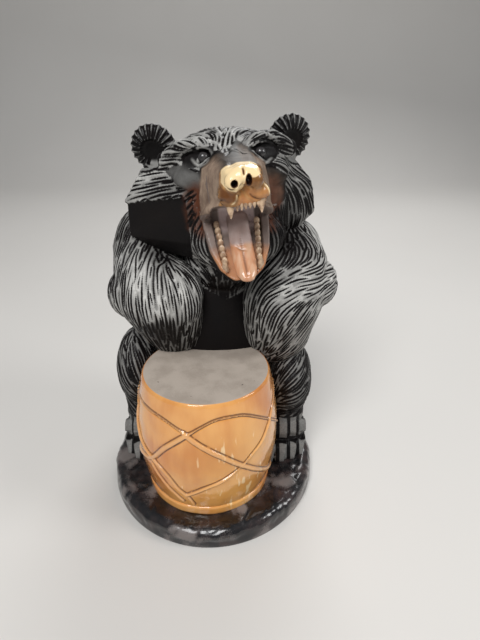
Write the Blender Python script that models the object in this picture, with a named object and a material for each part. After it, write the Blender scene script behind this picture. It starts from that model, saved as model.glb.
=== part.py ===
"""A bear that drums, carved with its drum and round base from one block of wood.

Metres, +Z up. The origin is the middle of the flat underside, and the bear faces -Y.
The base and the drum have their own sizes. The bear is a free form, laid out on a grid of
units of which its height holds FIGURE_UNITS, measured up from the top of the base.
"""
import math

import bmesh
import bpy
import numpy as np
from mathutils import Matrix, Vector
from mathutils.bvhtree import BVHTree
from mathutils.kdtree import KDTree

# Base: an oval slab with a soft upper edge.
BASE_HALF_WIDTH = 0.0740
BASE_HALF_DEPTH = 0.0815
BASE_THICKNESS = 0.0135
BASE_EDGE_ROUND = 0.0060

# Drum: a barrel on a foot ring, with laced straps standing proud of its side.
DRUM_X = -0.0020
DRUM_Y = -0.0240
DRUM_HEIGHT = 0.0855
DRUM_HEAD_RADIUS = 0.0410
DRUM_BELLY_RADIUS = 0.0470
DRUM_FOOT_RADIUS = 0.0400
DRUM_HEAD_RIM = 0.0012
DRUM_RING_RADIUS = 0.0425
DRUM_RING_HEIGHT = 0.0055
STRAP_WIDTH = 0.0032
STRAP_RISE = 0.0010

# Bear: height from the top of the base to the tip of the higher ear.
BEAR_HEIGHT = 0.2345
BEAR_Y = -0.0050
FIGURE_UNITS = 234.5
HEAD_ORIGIN = (14.0, 10.0, 191.5)
HEAD_YAW = math.radians(7.0)
HEAD_ROLL = math.radians(4.5)
NOSE_X = 2.2

# Locks of the coat, in units of the figure: grooves that a wide gouge leaves.
LOCK_SPACING = 8.5
LOCK_LENGTH = 26.0
LOCK_SHORTEST = 9.0
LOCK_STEP = 1.4
LOCK_WIDTH = 5.2
LOCK_DEPTH = 1.7
FLUTE_WIDTH = 3.6
FLUTE_DEPTH = 1.5

# Fusing and thinning of the faceted solid.
FUSE_VOXEL = 0.0011
SMOOTH_STEPS = 4
TRIANGLES = 9700
FACE_REACH = 45
FACE_FINENESS = 0.00003
CUT_MARGIN = 0.010

UNIT = BEAR_HEIGHT / FIGURE_UNITS
DRUM_TOP = BASE_THICKNESS + DRUM_HEIGHT


def figure(x, y, z):
    """A point of the figure grid, in metres."""
    return Vector((x, y, z)) * UNIT + Vector((0, BEAR_Y, BASE_THICKNESS))


def in_figure(height):
    """A height in metres, as figure units above the base."""
    return (height - BASE_THICKNESS) / UNIT


HEAD_TURN = Matrix.Rotation(HEAD_YAW, 3, "Z") @ Matrix.Rotation(-HEAD_ROLL, 3, "Y")


def head(x, y, z):
    """A point of the head's own grid, which turns and tilts with it, in metres."""
    return figure(*(Vector(HEAD_ORIGIN) + HEAD_TURN @ Vector((x, y, z))))


def egg(clay, centre, radii, turn=Matrix.Identity(3), segments=28):
    """An ellipsoid. Its radii are in figure units."""
    place = Matrix.Translation(centre) @ turn.to_4x4() @ Matrix.Diagonal((*[r * UNIT for r in radii], 1))
    bmesh.ops.create_uvsphere(clay, u_segments=segments, v_segments=segments // 2, radius=1, matrix=place)


def block(clay, points):
    """The convex body of some points, with the flat faces that a chisel leaves."""
    verts = [clay.verts.new(p) for p in points]
    made = bmesh.ops.convex_hull(clay, input=verts)
    spare = {v for v in made["geom_interior"] + made["geom_unused"] if isinstance(v, bmesh.types.BMVert)}
    bmesh.ops.delete(clay, geom=list(spare), context="VERTS")


def smooth_path(rows, steps):
    """Rows of numbers with a Catmull-Rom curve through them."""
    rows = [np.array(r, float) for r in rows]
    ends = [2 * rows[0] - rows[1], *rows, 2 * rows[-1] - rows[-2]]
    out = []
    for a, b, c, d in zip(ends, ends[1:], ends[2:], ends[3:]):
        for k in range(steps):
            t = k / steps
            out.append(0.5 * (2 * b + (c - a) * t + (2 * a - 5 * b + 4 * c - d) * t * t
                              + (3 * b - a - 3 * c + d) * t ** 3))
    out.append(rows[-1])
    return out


def loft(clay, sections, side=(1, 0, 0), steps=5, segments=24):
    """A smooth limb through sections of (centre, half width, half depth), with domed ends."""
    rows = smooth_path([(*c, w, d) for c, w, d in sections], steps)
    rings = []
    for i, row in enumerate(rows):
        along = Vector(rows[min(i + 1, len(rows) - 1)][:3] - rows[max(i - 1, 0)][:3]).normalized()
        rings.append((Vector(row[:3]), along, row[3], row[4]))
    domed = []
    for (centre, along, width, depth), sign in ((rings[0], -1), (rings[-1], 1)):
        reach = min(width, depth)
        dome = []
        for k in range(1, 5):
            angle = k / 4 * math.radians(86)
            dome.append((centre + along * sign * reach * math.sin(angle), along,
                         width * math.cos(angle), depth * math.cos(angle)))
        domed.append(dome)
    rings = domed[0][::-1] + rings + domed[1]
    loops = []
    for centre, along, width, depth in rings:
        across = (Vector(side) - along * along.dot(Vector(side))).normalized()
        up = along.cross(across)
        loops.append([clay.verts.new(centre + across * width * math.cos(a) + up * depth * math.sin(a))
                      for a in (2 * math.pi * k / segments for k in range(segments))])
    for low, high in zip(loops, loops[1:]):
        for k in range(segments):
            n = (k + 1) % segments
            clay.faces.new((low[k], low[n], high[n], high[k]))
    clay.faces.new(loops[0][::-1])
    clay.faces.new(loops[-1])


def limb(clay, grid, sections, side=(1, 0, 0), steps=5, segments=24):
    """A loft whose sections are (x, y, z, half width, half depth) on a grid of the figure."""
    loft(clay, [(grid(x, y, z), w * UNIT, d * UNIT) for x, y, z, w, d in sections], side, steps, segments)


def turned(clay, profile, centre, half_width=1.0, half_depth=1.0, segments=96):
    """A body turned from a profile of (radius, height), stretched by the two halves."""
    loops = []
    for radius, height in profile:
        loops.append([clay.verts.new((centre[0] + radius * half_width * math.cos(a),
                                      centre[1] + radius * half_depth * math.sin(a), height))
                      for a in (2 * math.pi * k / segments for k in range(segments))])
    for low, high in zip(loops, loops[1:]):
        for k in range(segments):
            n = (k + 1) % segments
            clay.faces.new((low[k], low[n], high[n], high[k]))
    clay.faces.new(loops[0][::-1])
    clay.faces.new(loops[-1])


def base(clay):
    edge = BASE_EDGE_ROUND
    steps = 8
    profile = [(1, -CUT_MARGIN), (1, 0)]
    for k in range(steps + 1):
        angle = k / steps * math.pi / 2
        inset = edge * (1 - math.cos(angle)) / BASE_HALF_WIDTH
        profile.append((1 - inset, BASE_THICKNESS - edge + edge * math.sin(angle)))
    turned(clay, profile, (0, 0), BASE_HALF_WIDTH, BASE_HALF_DEPTH)


def drum_radius(share):
    """Radius of the barrel's side at a share of its height."""
    foot, top, swell = DRUM_FOOT_RADIUS, DRUM_HEAD_RADIUS, DRUM_BELLY_RADIUS
    straight = foot + (top - foot) * share
    return straight + (swell - (foot + top) / 2) * math.sin(math.pi * share ** 0.92) ** 0.9


def drum(clay):
    steps = 26
    sunk = BASE_THICKNESS * 0.7
    profile = [(DRUM_FOOT_RADIUS, sunk)]
    for k in range(steps):
        share = k / steps
        profile.append((drum_radius(share), BASE_THICKNESS + DRUM_HEIGHT * share))
    profile += [(DRUM_HEAD_RADIUS, DRUM_TOP - DRUM_HEAD_RIM), (DRUM_HEAD_RADIUS - DRUM_HEAD_RIM, DRUM_TOP)]
    turned(clay, profile, (DRUM_X, DRUM_Y))
    top, bevel = BASE_THICKNESS + DRUM_RING_HEIGHT, DRUM_RING_HEIGHT / 4
    ring = [(DRUM_RING_RADIUS, sunk), (DRUM_RING_RADIUS, top - bevel), (DRUM_RING_RADIUS - bevel, top)]
    turned(clay, ring, (DRUM_X, DRUM_Y))


# Where the straps turn, as (angle in degrees round from the right, share of the drum's height).
STRAPS = (
    ((-208, 0.60), (-178, 0.70), (-118, 0.47), (-62, 0.31), (-34, 0.30)),
    ((-206, 0.34), (-150, 0.36), (-118, 0.47), (-78, 0.66), (-32, 0.68), (-5, 0.58)),
    ((-178, 0.70), (-160, 0.46), (-150, 0.36), (-126, 0.16), (-104, 0.09)),
    ((-104, 0.09), (-74, 0.20), (-50, 0.33), (-28, 0.66), (-18, 0.72)),
)


def on_drum(angle, share):
    radius = drum_radius(share)
    turn = math.radians(angle)
    return Vector((DRUM_X + radius * math.cos(turn), DRUM_Y + radius * math.sin(turn),
                   BASE_THICKNESS + DRUM_HEIGHT * share))


def straps(clay):
    half, rise = STRAP_WIDTH / 2, STRAP_RISE
    for turns in STRAPS:
        spots = [on_drum(*row) for row in smooth_path(turns, 6)]
        for a, b in zip(spots, spots[1:]):
            along = (b - a).normalized()
            out = ((a + b) / 2 - Vector((DRUM_X, DRUM_Y, 0))).to_2d().normalized().to_3d()
            across = along.cross(out).normalized()
            points = []
            for centre in (a - along * half * 0.3, b + along * half * 0.3):
                for s in (-1, 1):
                    points += [centre + across * s * half + out * rise * 0.6,
                               centre + across * s * half * 0.7 + out * rise,
                               centre + across * s * half - out * rise * 2]
            block(clay, points)


def torso(clay):
    limb(clay, figure, [(1, 42, 12, 46, 28), (1, 41, 40, 54, 33), (2, 41, 78, 56, 39), (4, 42, 114, 54, 38),
                        (7, 44, 146, 54, 33), (10, 42, 170, 48, 32), (12, 34, 190, 38, 28)], segments=40)
    egg(clay, figure(3, 33, 90), (42, 31, 42))
    egg(clay, figure(10, 20, 148), (30, 22, 26))
    egg(clay, figure(0, 75, 22), (9, 9, 10))


def legs(clay):
    for side, thigh_z in ((-1, 62), (1, 52)):
        middle = side * 54 + 1.5
        egg(clay, figure(middle + side, 22, thigh_z), (17, 28, 30))
        egg(clay, figure(middle - side * 6, 44, thigh_z - 12), (18, 30, 34))
        limb(clay, figure, [(middle, 18, thigh_z - 8, 16, 19), (middle - side, 14, 30, 14, 15),
                            (middle - side, 11, 14, 13, 15)])
        foot(clay, middle)


def foot(clay, middle):
    egg(clay, figure(middle, 12, 6), (14, 18, 11))
    for k in range(4):
        across = k - 1.5
        x = middle + across * 6.8
        reach = -7.5 + abs(k - 1.4) * 1.8
        turn = Matrix.Rotation(across * 0.09, 3, "Z")
        egg(clay, figure(x, reach + 4, 8), (3.6, 8, 6.0), turn, 16)
        nail = [figure(x + s * 2.3, reach + 1, h) for s in (-1, 1) for h in (-1, 5)]
        nail += [figure(x + s * 1.9 + across * 0.5, reach - 7, h) for s in (-1, 1) for h in (-1, 3.2)]
        nail.append(figure(x - across * 1.1, reach - 11, -1))
        block(clay, nail)


def arms(clay):
    paw = in_figure(DRUM_TOP)
    left = [(-45, 22, 156, 18, 22), (-38, 6, 148, 23, 22), (-32, 0, 132, 29, 21), (-28, 4, 112, 24, 18),
            (-24, 10, paw + 5, 18, 12), (-23, 15, paw - 6, 13, 8)]
    right = [(54, 24, 150, 20, 22), (52, 6, 142, 25, 21), (48, -1, 128, 26, 21), (46, 3, 110, 24, 18),
             (46, 9, paw + 5, 21, 13), (46, 13, paw - 6, 16, 9)]
    limb(clay, figure, left)
    limb(clay, figure, right)
    egg(clay, figure(-44, 28, 148), (21, 26, 30))
    egg(clay, figure(55, 28, 142), (21, 26, 27))
    egg(clay, figure(-53, 6, 124), (15, 17, 18))
    egg(clay, figure(68, 6, 134), (15, 17, 17))


def skull(clay):
    egg(clay, head(-2, 8, 0), (44, 38, 36), HEAD_TURN)
    egg(clay, head(0, -3, 16), (35, 24, 20), HEAD_TURN)
    egg(clay, head(0, -16, -24), (30, 20, 20), HEAD_TURN)
    middle = -6.0
    for s in (-1, 1):
        edge = [(57, 0, 1), (58.5, 1, -21.5), (40, 0, -35), (12, -22, -8), (12, -24, -26), (6, -18, -40)]
        edge += [(44, 2, 18), (32, -8, 19), (44, 26, 12), (46, 26, -20), (30, 24, -36), (52, 14, 2)]
        block(clay, [head(middle + s * x, y, z) for x, y, z in edge])


# Ears, as (x, y, z, radius, turn in degrees) on the head's grid.
EARS = ((-44.0, 13.0, 26.5, 14.0, -16.0), (36.5, 13.0, 26.0, 15.0, 16.0))
EAR_FLUTES = 13


def ear_turn(turn):
    return HEAD_TURN @ Matrix.Rotation(math.radians(turn), 3, "Z") @ Matrix.Rotation(math.radians(12), 3, "X")


def ears(clay):
    for x, y, z, size, turn in EARS:
        egg(clay, head(x, y, z), (size, 6, size), ear_turn(turn))


def ear_cups(cuts):
    for x, y, z, size, turn in EARS:
        face = ear_turn(turn)
        egg(cuts, head(x, y, z) + face @ Vector((0, -7.5, -1)) * UNIT, (size * 0.62, 5, size * 0.62), face)


def ear_strokes():
    """The flutes round the rim of each ear."""
    strokes = []
    for x, y, z, size, turn in EARS:
        face = ear_turn(turn)
        for k in range(EAR_FLUTES):
            angle = math.radians(-50 + 280 * k / (EAR_FLUTES - 1))
            ray = Vector((math.cos(angle), 0, math.sin(angle)))
            stroke = []
            for n in range(9):
                bend = n / 8 * math.pi * 0.75
                reach = size * (0.62 + 0.38 * math.sin(bend))
                stroke.append(head(x, y, z) + face @ (ray * reach + Vector((0, -6 * math.cos(bend), 0))) * UNIT)
            strokes.append(stroke)
    return strokes


def muzzle(clay):
    limb(clay, head, [(0, -14, 8, 22, 18), (0, -28, 8.5, 20, 17), (0.5, -43, 10.5, 17, 14),
                      (1.5, -54, 13, 14, 11.5), (2, -59, 14, 11.5, 10)], segments=28)
    egg(clay, head(NOSE_X, -61.5, 18.5), (9.5, 6.5, 6), HEAD_TURN, 20)
    for s in (-1, 1):
        egg(clay, head(NOSE_X + s * 6, -63, 15.5), (4.6, 4.6, 5.2), HEAD_TURN, 20)
        egg(clay, head(NOSE_X + s * 6.2, -59.5, 7.5), (7.4, 7.5, 6.8), HEAD_TURN, 20)
        limb(clay, head, [(s * 8 + NOSE_X, -57, 6, 4, 4), (s * 14.5, -45, -0.5, 4, 4), (s * 17, -32, -7, 4, 4)],
             segments=12)


def brows(clay):
    for s in (-1, 1):
        limb(clay, head, [(s * 5, -25, 26, 3.5, 3), (s * 14, -23, 30, 4, 3), (s * 25, -16, 29, 5, 4),
                          (s * 34, -8, 24, 5, 5)], side=(0, 1, 0), segments=16)
        egg(clay, head(s * 20, -18, 12), (13, 10, 9), HEAD_TURN, 20)


def jaw(clay):
    rim = [(18, -30, -7), (17.8, -34, -11), (16, -44, -22), (11.5, -51, -30.5), (4.5, -54.5, -34)]
    under = [(20, -16, -30), (14, -34, -36), (6, -44, -40), (20, -14, -14)]
    block(clay, [head(s * x, y, z) for s in (-1, 1) for x, y, z in rim + under])


def mouth(cuts):
    """The open mouth: a wedge between the palate and the floor of the lower jaw."""
    roof = [(12, -27, -3), (13, -44, 2), (8.5, -60, 6), (7, -84, 8)]
    floor = [(12.5, -28, -10), (11.5, -40, -23), (8, -47, -31), (7, -54, -39), (7, -84, -39)]
    block(cuts, [head(s * x, y, z) for s in (-1, 1) for x, y, z in roof + floor])


def nostrils(cuts):
    for s in (-1, 1):
        egg(cuts, head(NOSE_X + s * 3.5, -68, 18.5), (1.8, 3.6, 2.2), HEAD_TURN, 12)


def sockets(cuts):
    for s in (-1, 1):
        face = HEAD_TURN @ Matrix.Rotation(s * math.radians(28), 3, "Z")
        egg(cuts, head(s * 19, -31, 23), (12, 7, 6), face @ Matrix.Rotation(s * math.radians(8), 3, "Y"), 20)


def eyes(clay):
    for s in (-1, 1):
        egg(clay, head(s * 15.5, -24.5, 23.5), (4.0, 3.6, 3.6), HEAD_TURN, 16)


def tongue(clay):
    limb(clay, head, [(0, -26, -8, 7, 4), (0, -37, -20, 7, 4), (0.3, -46, -29, 6.8, 4), (0.6, -53, -34, 6.2, 3.4),
                      (0.6, -55.5, -35.5, 5, 2.6)], segments=20)


def teeth(clay):
    for s in (-1, 1):
        for k in range(6):
            share = k / 5
            egg(clay, head(s * (10.4 - 1.4 * share), -33 - 12.5 * share, -12 - 14.5 * share), (1.5, 1.5, 3.2),
                HEAD_TURN, 10)
        fang(clay, (s * 9.4, -48.5, -31), (s * 9.2, -52, -23), 2.1)
        fang(clay, (NOSE_X + s * 7.6, -60, 8), (NOSE_X + s * 7.6, -62, 1), 2.1)
    for k in range(5):
        x = (k - 2) * 2.7
        fang(clay, (NOSE_X + x, -62 + abs(x) * 0.1, 7), (NOSE_X + x, -63 + abs(x) * 0.1, 2.6), 1.4)


def fang(clay, root, tip, radius):
    a, b, r = head(*root), head(*tip), radius * UNIT
    loft(clay, [(a, r, r), ((a + b) / 2, 0.75 * r, 0.75 * r), (b, 0.2 * r, 0.2 * r)], steps=2, segments=8)


def new_object(name, mesh):
    thing = bpy.data.objects.new(name, mesh)
    bpy.context.scene.collection.objects.link(thing)
    return thing


def evaluated(thing):
    """The mesh that an object's modifiers give."""
    bpy.context.view_layer.update()
    mesh = bpy.data.meshes.new_from_object(thing.evaluated_get(bpy.context.evaluated_depsgraph_get()))
    bpy.data.objects.remove(thing)
    return mesh


def cast(*makers):
    """An object with the bodies of some makers."""
    clay = bmesh.new()
    for make in makers:
        make(clay)
    mesh = bpy.data.meshes.new("clay")
    clay.to_mesh(mesh)
    clay.free()
    return new_object("clay", mesh)


def fused(thing):
    """One skin round everything in the clay."""
    remesh = thing.modifiers.new("fuse", "REMESH")
    remesh.mode = "VOXEL"
    remesh.voxel_size = FUSE_VOXEL
    return new_object("fused", evaluated(thing))


def hollowed(thing, cutter):
    cut = thing.modifiers.new("hollow", "BOOLEAN")
    cut.operation = "DIFFERENCE"
    cut.solver = "EXACT"
    cut.object = cutter
    mesh = evaluated(thing)
    bpy.data.objects.remove(cutter)
    return mesh


def softened(thing):
    soften = thing.modifiers.new("soften", "SMOOTH")
    soften.factor = 0.5
    soften.iterations = SMOOTH_STEPS
    return evaluated(thing)


# How the coat lies: a place on the figure grid, and the way that the hair runs there.
COAT = (
    ((15, -16, 222), (0, 0.5, 1)), ((-6, -8, 222), (-0.6, 0.6, 0.5)), ((34, -8, 224), (0.6, 0.6, 0.5)),
    ((-24, 0, 212), (-1, 0.5, -0.2)), ((46, 0, 214), (1, 0.5, -0.2)), ((-40, 0, 196), (-1, 0.5, -0.6)),
    ((58, 0, 200), (1, 0.5, -0.6)), ((-30, -12, 186), (-1, 0.4, -0.5)), ((50, -12, 190), (1, 0.4, -0.4)),
    ((48, -4, 172), (0.8, 0.3, -0.8)), ((-25, -4, 160), (-0.5, 0.3, -1)), ((10, 30, 228), (0, 1, -0.1)),
    ((10, 52, 200), (0, 0.5, -1)), ((-45, 40, 190), (-0.5, 0.6, -0.8)), ((60, 40, 190), (0.5, 0.6, -0.8)),
    ((0, 76, 120), (0, 0, -1)), ((0, 78, 60), (0, 0, -1)), ((-60, 45, 120), (0, 0.1, -1)),
    ((66, 45, 120), (0, 0.1, -1)), ((-66, 24, 160), (-0.1, -0.5, -1)), ((-66, 6, 126), (0.3, -0.4, -1)),
    ((-38, -18, 150), (0, -0.3, -1)), ((-20, -20, 120), (0.1, 0.1, -1)), ((-30, -14, 104), (0, 0.2, -1)),
    ((74, 20, 160), (0.1, -0.6, -0.8)), ((76, 0, 136), (-0.8, -0.6, -0.5)), ((56, -18, 142), (-1, -0.2, -0.2)),
    ((34, -18, 134), (-0.6, 0, -0.8)), ((34, -16, 112), (-0.1, 0.1, -1)), ((58, -14, 112), (-0.3, 0.1, -1)),
    ((-68, 20, 66), (0.2, -0.8, -0.7)), ((70, 20, 56), (-0.2, -0.8, -0.7)), ((-58, 0, 34), (0, -0.4, -1)),
    ((60, 0, 34), (0, -0.4, -1)), ((-62, 50, 50), (0, -0.5, -1)), ((64, 50, 50), (0, -0.5, -1)),
    ((-4, 0, 148), (0.6, -0.1, -0.8)), ((20, 0, 148), (-0.6, -0.1, -0.8)),
)


def coat_direction(spot):
    """The way of the hair at a spot, blended from the places of COAT near it."""
    way = Vector()
    for place, run in COAT:
        weight = 1 / ((spot - figure(*place)).length_squared / UNIT ** 2 + 9) ** 1.5
        way += Vector(run).normalized() * weight
    return way.normalized()


def bare(spot):
    """Whether a spot has no coat: base, drum, feet, face, ears and belly."""
    if spot.z < BASE_THICKNESS + 14 * UNIT:
        return True
    if spot.z < DRUM_TOP + 2 * UNIT and (spot - Vector((DRUM_X, DRUM_Y, spot.z))).length < DRUM_BELLY_RADIUS + 2 * UNIT:
        return True
    places = [(head(0, -50, 8), 32), (head(0, -40, -22), 32), (head(0, -24, 24), 27), (figure(8, 0, 108), 26)]
    places += [(head(x, y, z), size + 3) for x, y, z, size, turn in EARS]
    return any((spot - place).length < radius * UNIT for place, radius in places)


def traced(skin, start, way):
    """A stroke over the skin from its middle, one way."""
    spots, normals = [], []
    spot, normal = start
    for k in range(round(LOCK_LENGTH / 2 / LOCK_STEP)):
        along = coat_direction(spot) * way
        along = (along - normal * along.dot(normal)).normalized()
        found, new_normal, face, gap = skin.find_nearest(spot + along * LOCK_STEP * UNIT)
        if found is None or new_normal.dot(normal) < 0.3 or bare(found):
            break
        spot, normal = found, new_normal
        spots.append(spot)
    return spots


def lock_strokes(mesh):
    """Strokes that lie side by side along the coat, LOCK_SPACING apart."""
    solid = bmesh.new()
    solid.from_mesh(mesh)
    skin = BVHTree.FromBMesh(solid)
    solid.free()
    rng = np.random.default_rng(7)
    cell = LOCK_SPACING * UNIT
    taken = {}

    def crowded(spot, gap):
        home = tuple(int(c // cell) for c in spot)
        for dx in (-1, 0, 1):
            for dy in (-1, 0, 1):
                for dz in (-1, 0, 1):
                    for other in taken.get((home[0] + dx, home[1] + dy, home[2] + dz), ()):
                        if (other - spot).length < gap:
                            return True
        return False

    strokes = []
    for index in rng.permutation(len(mesh.vertices)):
        vert = mesh.vertices[int(index)]
        if bare(vert.co) or crowded(vert.co, cell):
            continue
        start = (vert.co.copy(), vert.normal.copy())
        back, ahead = traced(skin, start, -1), traced(skin, start, 1)
        for side in (back, ahead):
            free = [crowded(spot, cell * 0.62) for spot in side]
            if True in free:
                del side[free.index(True):]
        stroke = back[::-1] + [start[0]] + ahead
        if len(stroke) * LOCK_STEP < LOCK_SHORTEST:
            continue
        strokes.append(stroke)
        for spot in stroke:
            taken.setdefault(tuple(int(c // cell) for c in spot), []).append(spot)
    return strokes


def gouged(mesh, strokes, width, cut_depth):
    """Cuts a V along each stroke, which runs out at both ends."""
    tree = KDTree(len(mesh.vertices))
    for vert in mesh.vertices:
        tree.insert(vert.co, vert.index)
    tree.balance()
    half = width / 2 * UNIT
    depth = np.zeros(len(mesh.vertices))
    for stroke in strokes:
        for k, spot in enumerate(stroke):
            strength = math.sin(math.pi * (k + 1) / (len(stroke) + 1)) ** 0.6
            for co, index, gap in tree.find_range(spot, half):
                depth[index] = max(depth[index], strength * (1 - gap / half))
    normals = np.array([v.normal for v in mesh.vertices])
    points = np.array([v.co for v in mesh.vertices])
    points -= normals * (depth * cut_depth * UNIT)[:, None]
    mesh.vertices.foreach_set("co", points.ravel())
    mesh.update()
    return mesh


def thinned(mesh):
    mesh.calc_loop_triangles()
    thing = new_object("thin", mesh)
    kept = thing.vertex_groups.new(name="face")
    face = head(0, -38, 0)
    for vert in mesh.vertices:
        if (vert.co - face).length < FACE_REACH * UNIT:
            kept.add([vert.index], 0.9, "REPLACE")
    thin = thing.modifiers.new("thin", "DECIMATE")
    thin.vertex_group = kept.name
    thin.invert_vertex_group = True
    thin.vertex_group_factor = FACE_FINENESS
    thin.ratio = TRIANGLES / len(mesh.loop_triangles)
    return evaluated(thing)


def drop_bubbles(solid):
    """Leaves only the largest skin, without the small bubbles that fusing shuts in at creases."""
    loose = set(solid.verts)
    skins = []
    while loose:
        reached = [loose.pop()]
        for vert in reached:
            for edge in vert.link_edges:
                other = edge.other_vert(vert)
                if other in loose:
                    loose.remove(other)
                    reached.append(other)
        skins.append(reached)
    skins.sort(key=len)
    for skin in skins[:-1]:
        bmesh.ops.delete(solid, geom=skin, context="VERTS")


def cut_flat(mesh):
    """Cuts the figure off at z = 0, closed by one flat face."""
    solid = bmesh.new()
    solid.from_mesh(mesh)
    drop_bubbles(solid)
    everything = solid.verts[:] + solid.edges[:] + solid.faces[:]
    cut = bmesh.ops.bisect_plane(solid, geom=everything, plane_co=(0, 0, 0), plane_no=(0, 0, 1),
                                 clear_inner=True, dist=1e-6)
    rim = [e for e in cut["geom_cut"] if isinstance(e, bmesh.types.BMEdge)]
    for v in {v for e in rim for v in e.verts}:
        v.co.z = 0
    bmesh.ops.holes_fill(solid, edges=rim)
    bmesh.ops.triangulate(solid, faces=[f for f in solid.faces if len(f.verts) > 3])
    bmesh.ops.recalc_face_normals(solid, faces=solid.faces)
    solid.to_mesh(mesh)
    solid.free()
    return mesh


def painted(name, colour, roughness):
    material = bpy.data.materials.new(name)
    material.use_nodes = True
    shader = material.node_tree.nodes["Principled BSDF"]
    shader.inputs["Base Color"].default_value = (*colour, 1)
    shader.inputs["Roughness"].default_value = roughness
    return material


def main():
    for thing in list(bpy.data.objects):
        bpy.data.objects.remove(thing)
    skull_block = fused(cast(skull, ears, muzzle, brows, jaw))
    face = hollowed(skull_block, cast(mouth, nostrils, sockets, ear_cups))

    def carved_head(clay):
        clay.from_mesh(face)

    whole = cast(base, drum, straps, torso, legs, arms, carved_head, eyes, tongue, teeth)
    mesh = softened(fused(whole))
    mesh = gouged(mesh, lock_strokes(mesh), LOCK_WIDTH, LOCK_DEPTH)
    mesh = gouged(mesh, ear_strokes(), FLUTE_WIDTH, FLUTE_DEPTH)
    mesh = cut_flat(thinned(mesh))
    bear = new_object("carved_bear", mesh)
    mesh.materials.clear()
    mesh.materials.append(painted("stained_wood", (0.03, 0.03, 0.032), 0.4))
    mesh.shade_smooth()
    mesh.set_sharp_from_angle(angle=math.radians(40))


main()
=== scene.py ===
import math
import bmesh
import bpy
import numpy as np
from mathutils import Matrix, Vector, noise
from mathutils.bvhtree import BVHTree
from mathutils.kdtree import KDTree


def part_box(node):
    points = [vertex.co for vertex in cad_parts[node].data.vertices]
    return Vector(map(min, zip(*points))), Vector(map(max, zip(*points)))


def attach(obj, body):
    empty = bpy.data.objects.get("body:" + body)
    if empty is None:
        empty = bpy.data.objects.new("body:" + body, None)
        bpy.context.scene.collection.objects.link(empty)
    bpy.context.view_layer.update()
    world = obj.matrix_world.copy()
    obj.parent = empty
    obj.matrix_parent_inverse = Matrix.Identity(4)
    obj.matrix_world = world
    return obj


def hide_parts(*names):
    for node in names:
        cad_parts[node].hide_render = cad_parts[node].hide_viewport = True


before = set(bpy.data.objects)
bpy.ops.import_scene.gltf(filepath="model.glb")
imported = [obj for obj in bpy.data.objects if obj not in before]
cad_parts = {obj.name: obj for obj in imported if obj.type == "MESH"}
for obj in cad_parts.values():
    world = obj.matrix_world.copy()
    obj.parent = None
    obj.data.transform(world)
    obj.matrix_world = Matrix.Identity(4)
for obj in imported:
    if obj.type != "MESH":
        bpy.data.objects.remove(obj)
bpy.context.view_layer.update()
low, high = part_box("carved_bear")
print("stage: frame loaded, height", round(high.z, 4))

# the bear is laid out in units above the base, as on a carver's squared drawing
slab = {"halfWidth": 0.0740, "thickness": 0.0135, "edgeRound": 0.0060, "lump": 0.0011}
slab["halfDepth"] = (high.y - low.y) / 2
figureUnits = 234.5
unit = (high.z - slab["thickness"]) / figureUnits
bearY = -0.0050
headOrigin = (14.0, 10.0, 191.5)
headTurn = Matrix.Rotation(math.radians(7.0), 3, "Z") @ Matrix.Rotation(math.radians(-4.5), 3, "Y")
noseX = 1.6


def figure(x, y, z):
    return Vector((x, y, z)) * unit + Vector((0, bearY, slab["thickness"]))


def head(x, y, z):
    return figure(*(Vector(headOrigin) + headTurn @ Vector((x, y, z))))


drum = {"x": -0.0020, "y": -0.0240, "height": 0.0855, "headRadius": 0.0410, "bellyRadius": 0.0470,
        "footRadius": 0.0400, "rim": 0.0012, "ringRadius": 0.0425, "ringHeight": 0.0055,
        "strapRise": 0.0012, "strapCut": 0.0007, "around": 500, "rows": 150}
drumTop = slab["thickness"] + drum["height"]


# bodies of clay, which a voxel skin then makes one
def egg(clay, centre, radii, turn=Matrix.Identity(3), segments=32):
    place = Matrix.Translation(centre) @ turn.to_4x4() @ Matrix.Diagonal((*[r * unit for r in radii], 1))
    bmesh.ops.create_uvsphere(clay, u_segments=segments, v_segments=segments // 2, radius=1, matrix=place)


def block(clay, points):
    verts = [clay.verts.new(p) for p in points]
    made = bmesh.ops.convex_hull(clay, input=verts)
    spare = {v for v in made["geom_interior"] + made["geom_unused"] if isinstance(v, bmesh.types.BMVert)}
    bmesh.ops.delete(clay, geom=list(spare), context="VERTS")


def smoothPath(rows, steps):
    rows = [np.array(r, float) for r in rows]
    ends = [2 * rows[0] - rows[1], *rows, 2 * rows[-1] - rows[-2]]
    path = []
    for a, b, c, d in zip(ends, ends[1:], ends[2:], ends[3:]):
        for k in range(steps):
            t = k / steps
            path.append(0.5 * (2 * b + (c - a) * t + (2 * a - 5 * b + 4 * c - d) * t * t
                               + (3 * b - a - 3 * c + d) * t ** 3))
    path.append(rows[-1])
    return path


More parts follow.
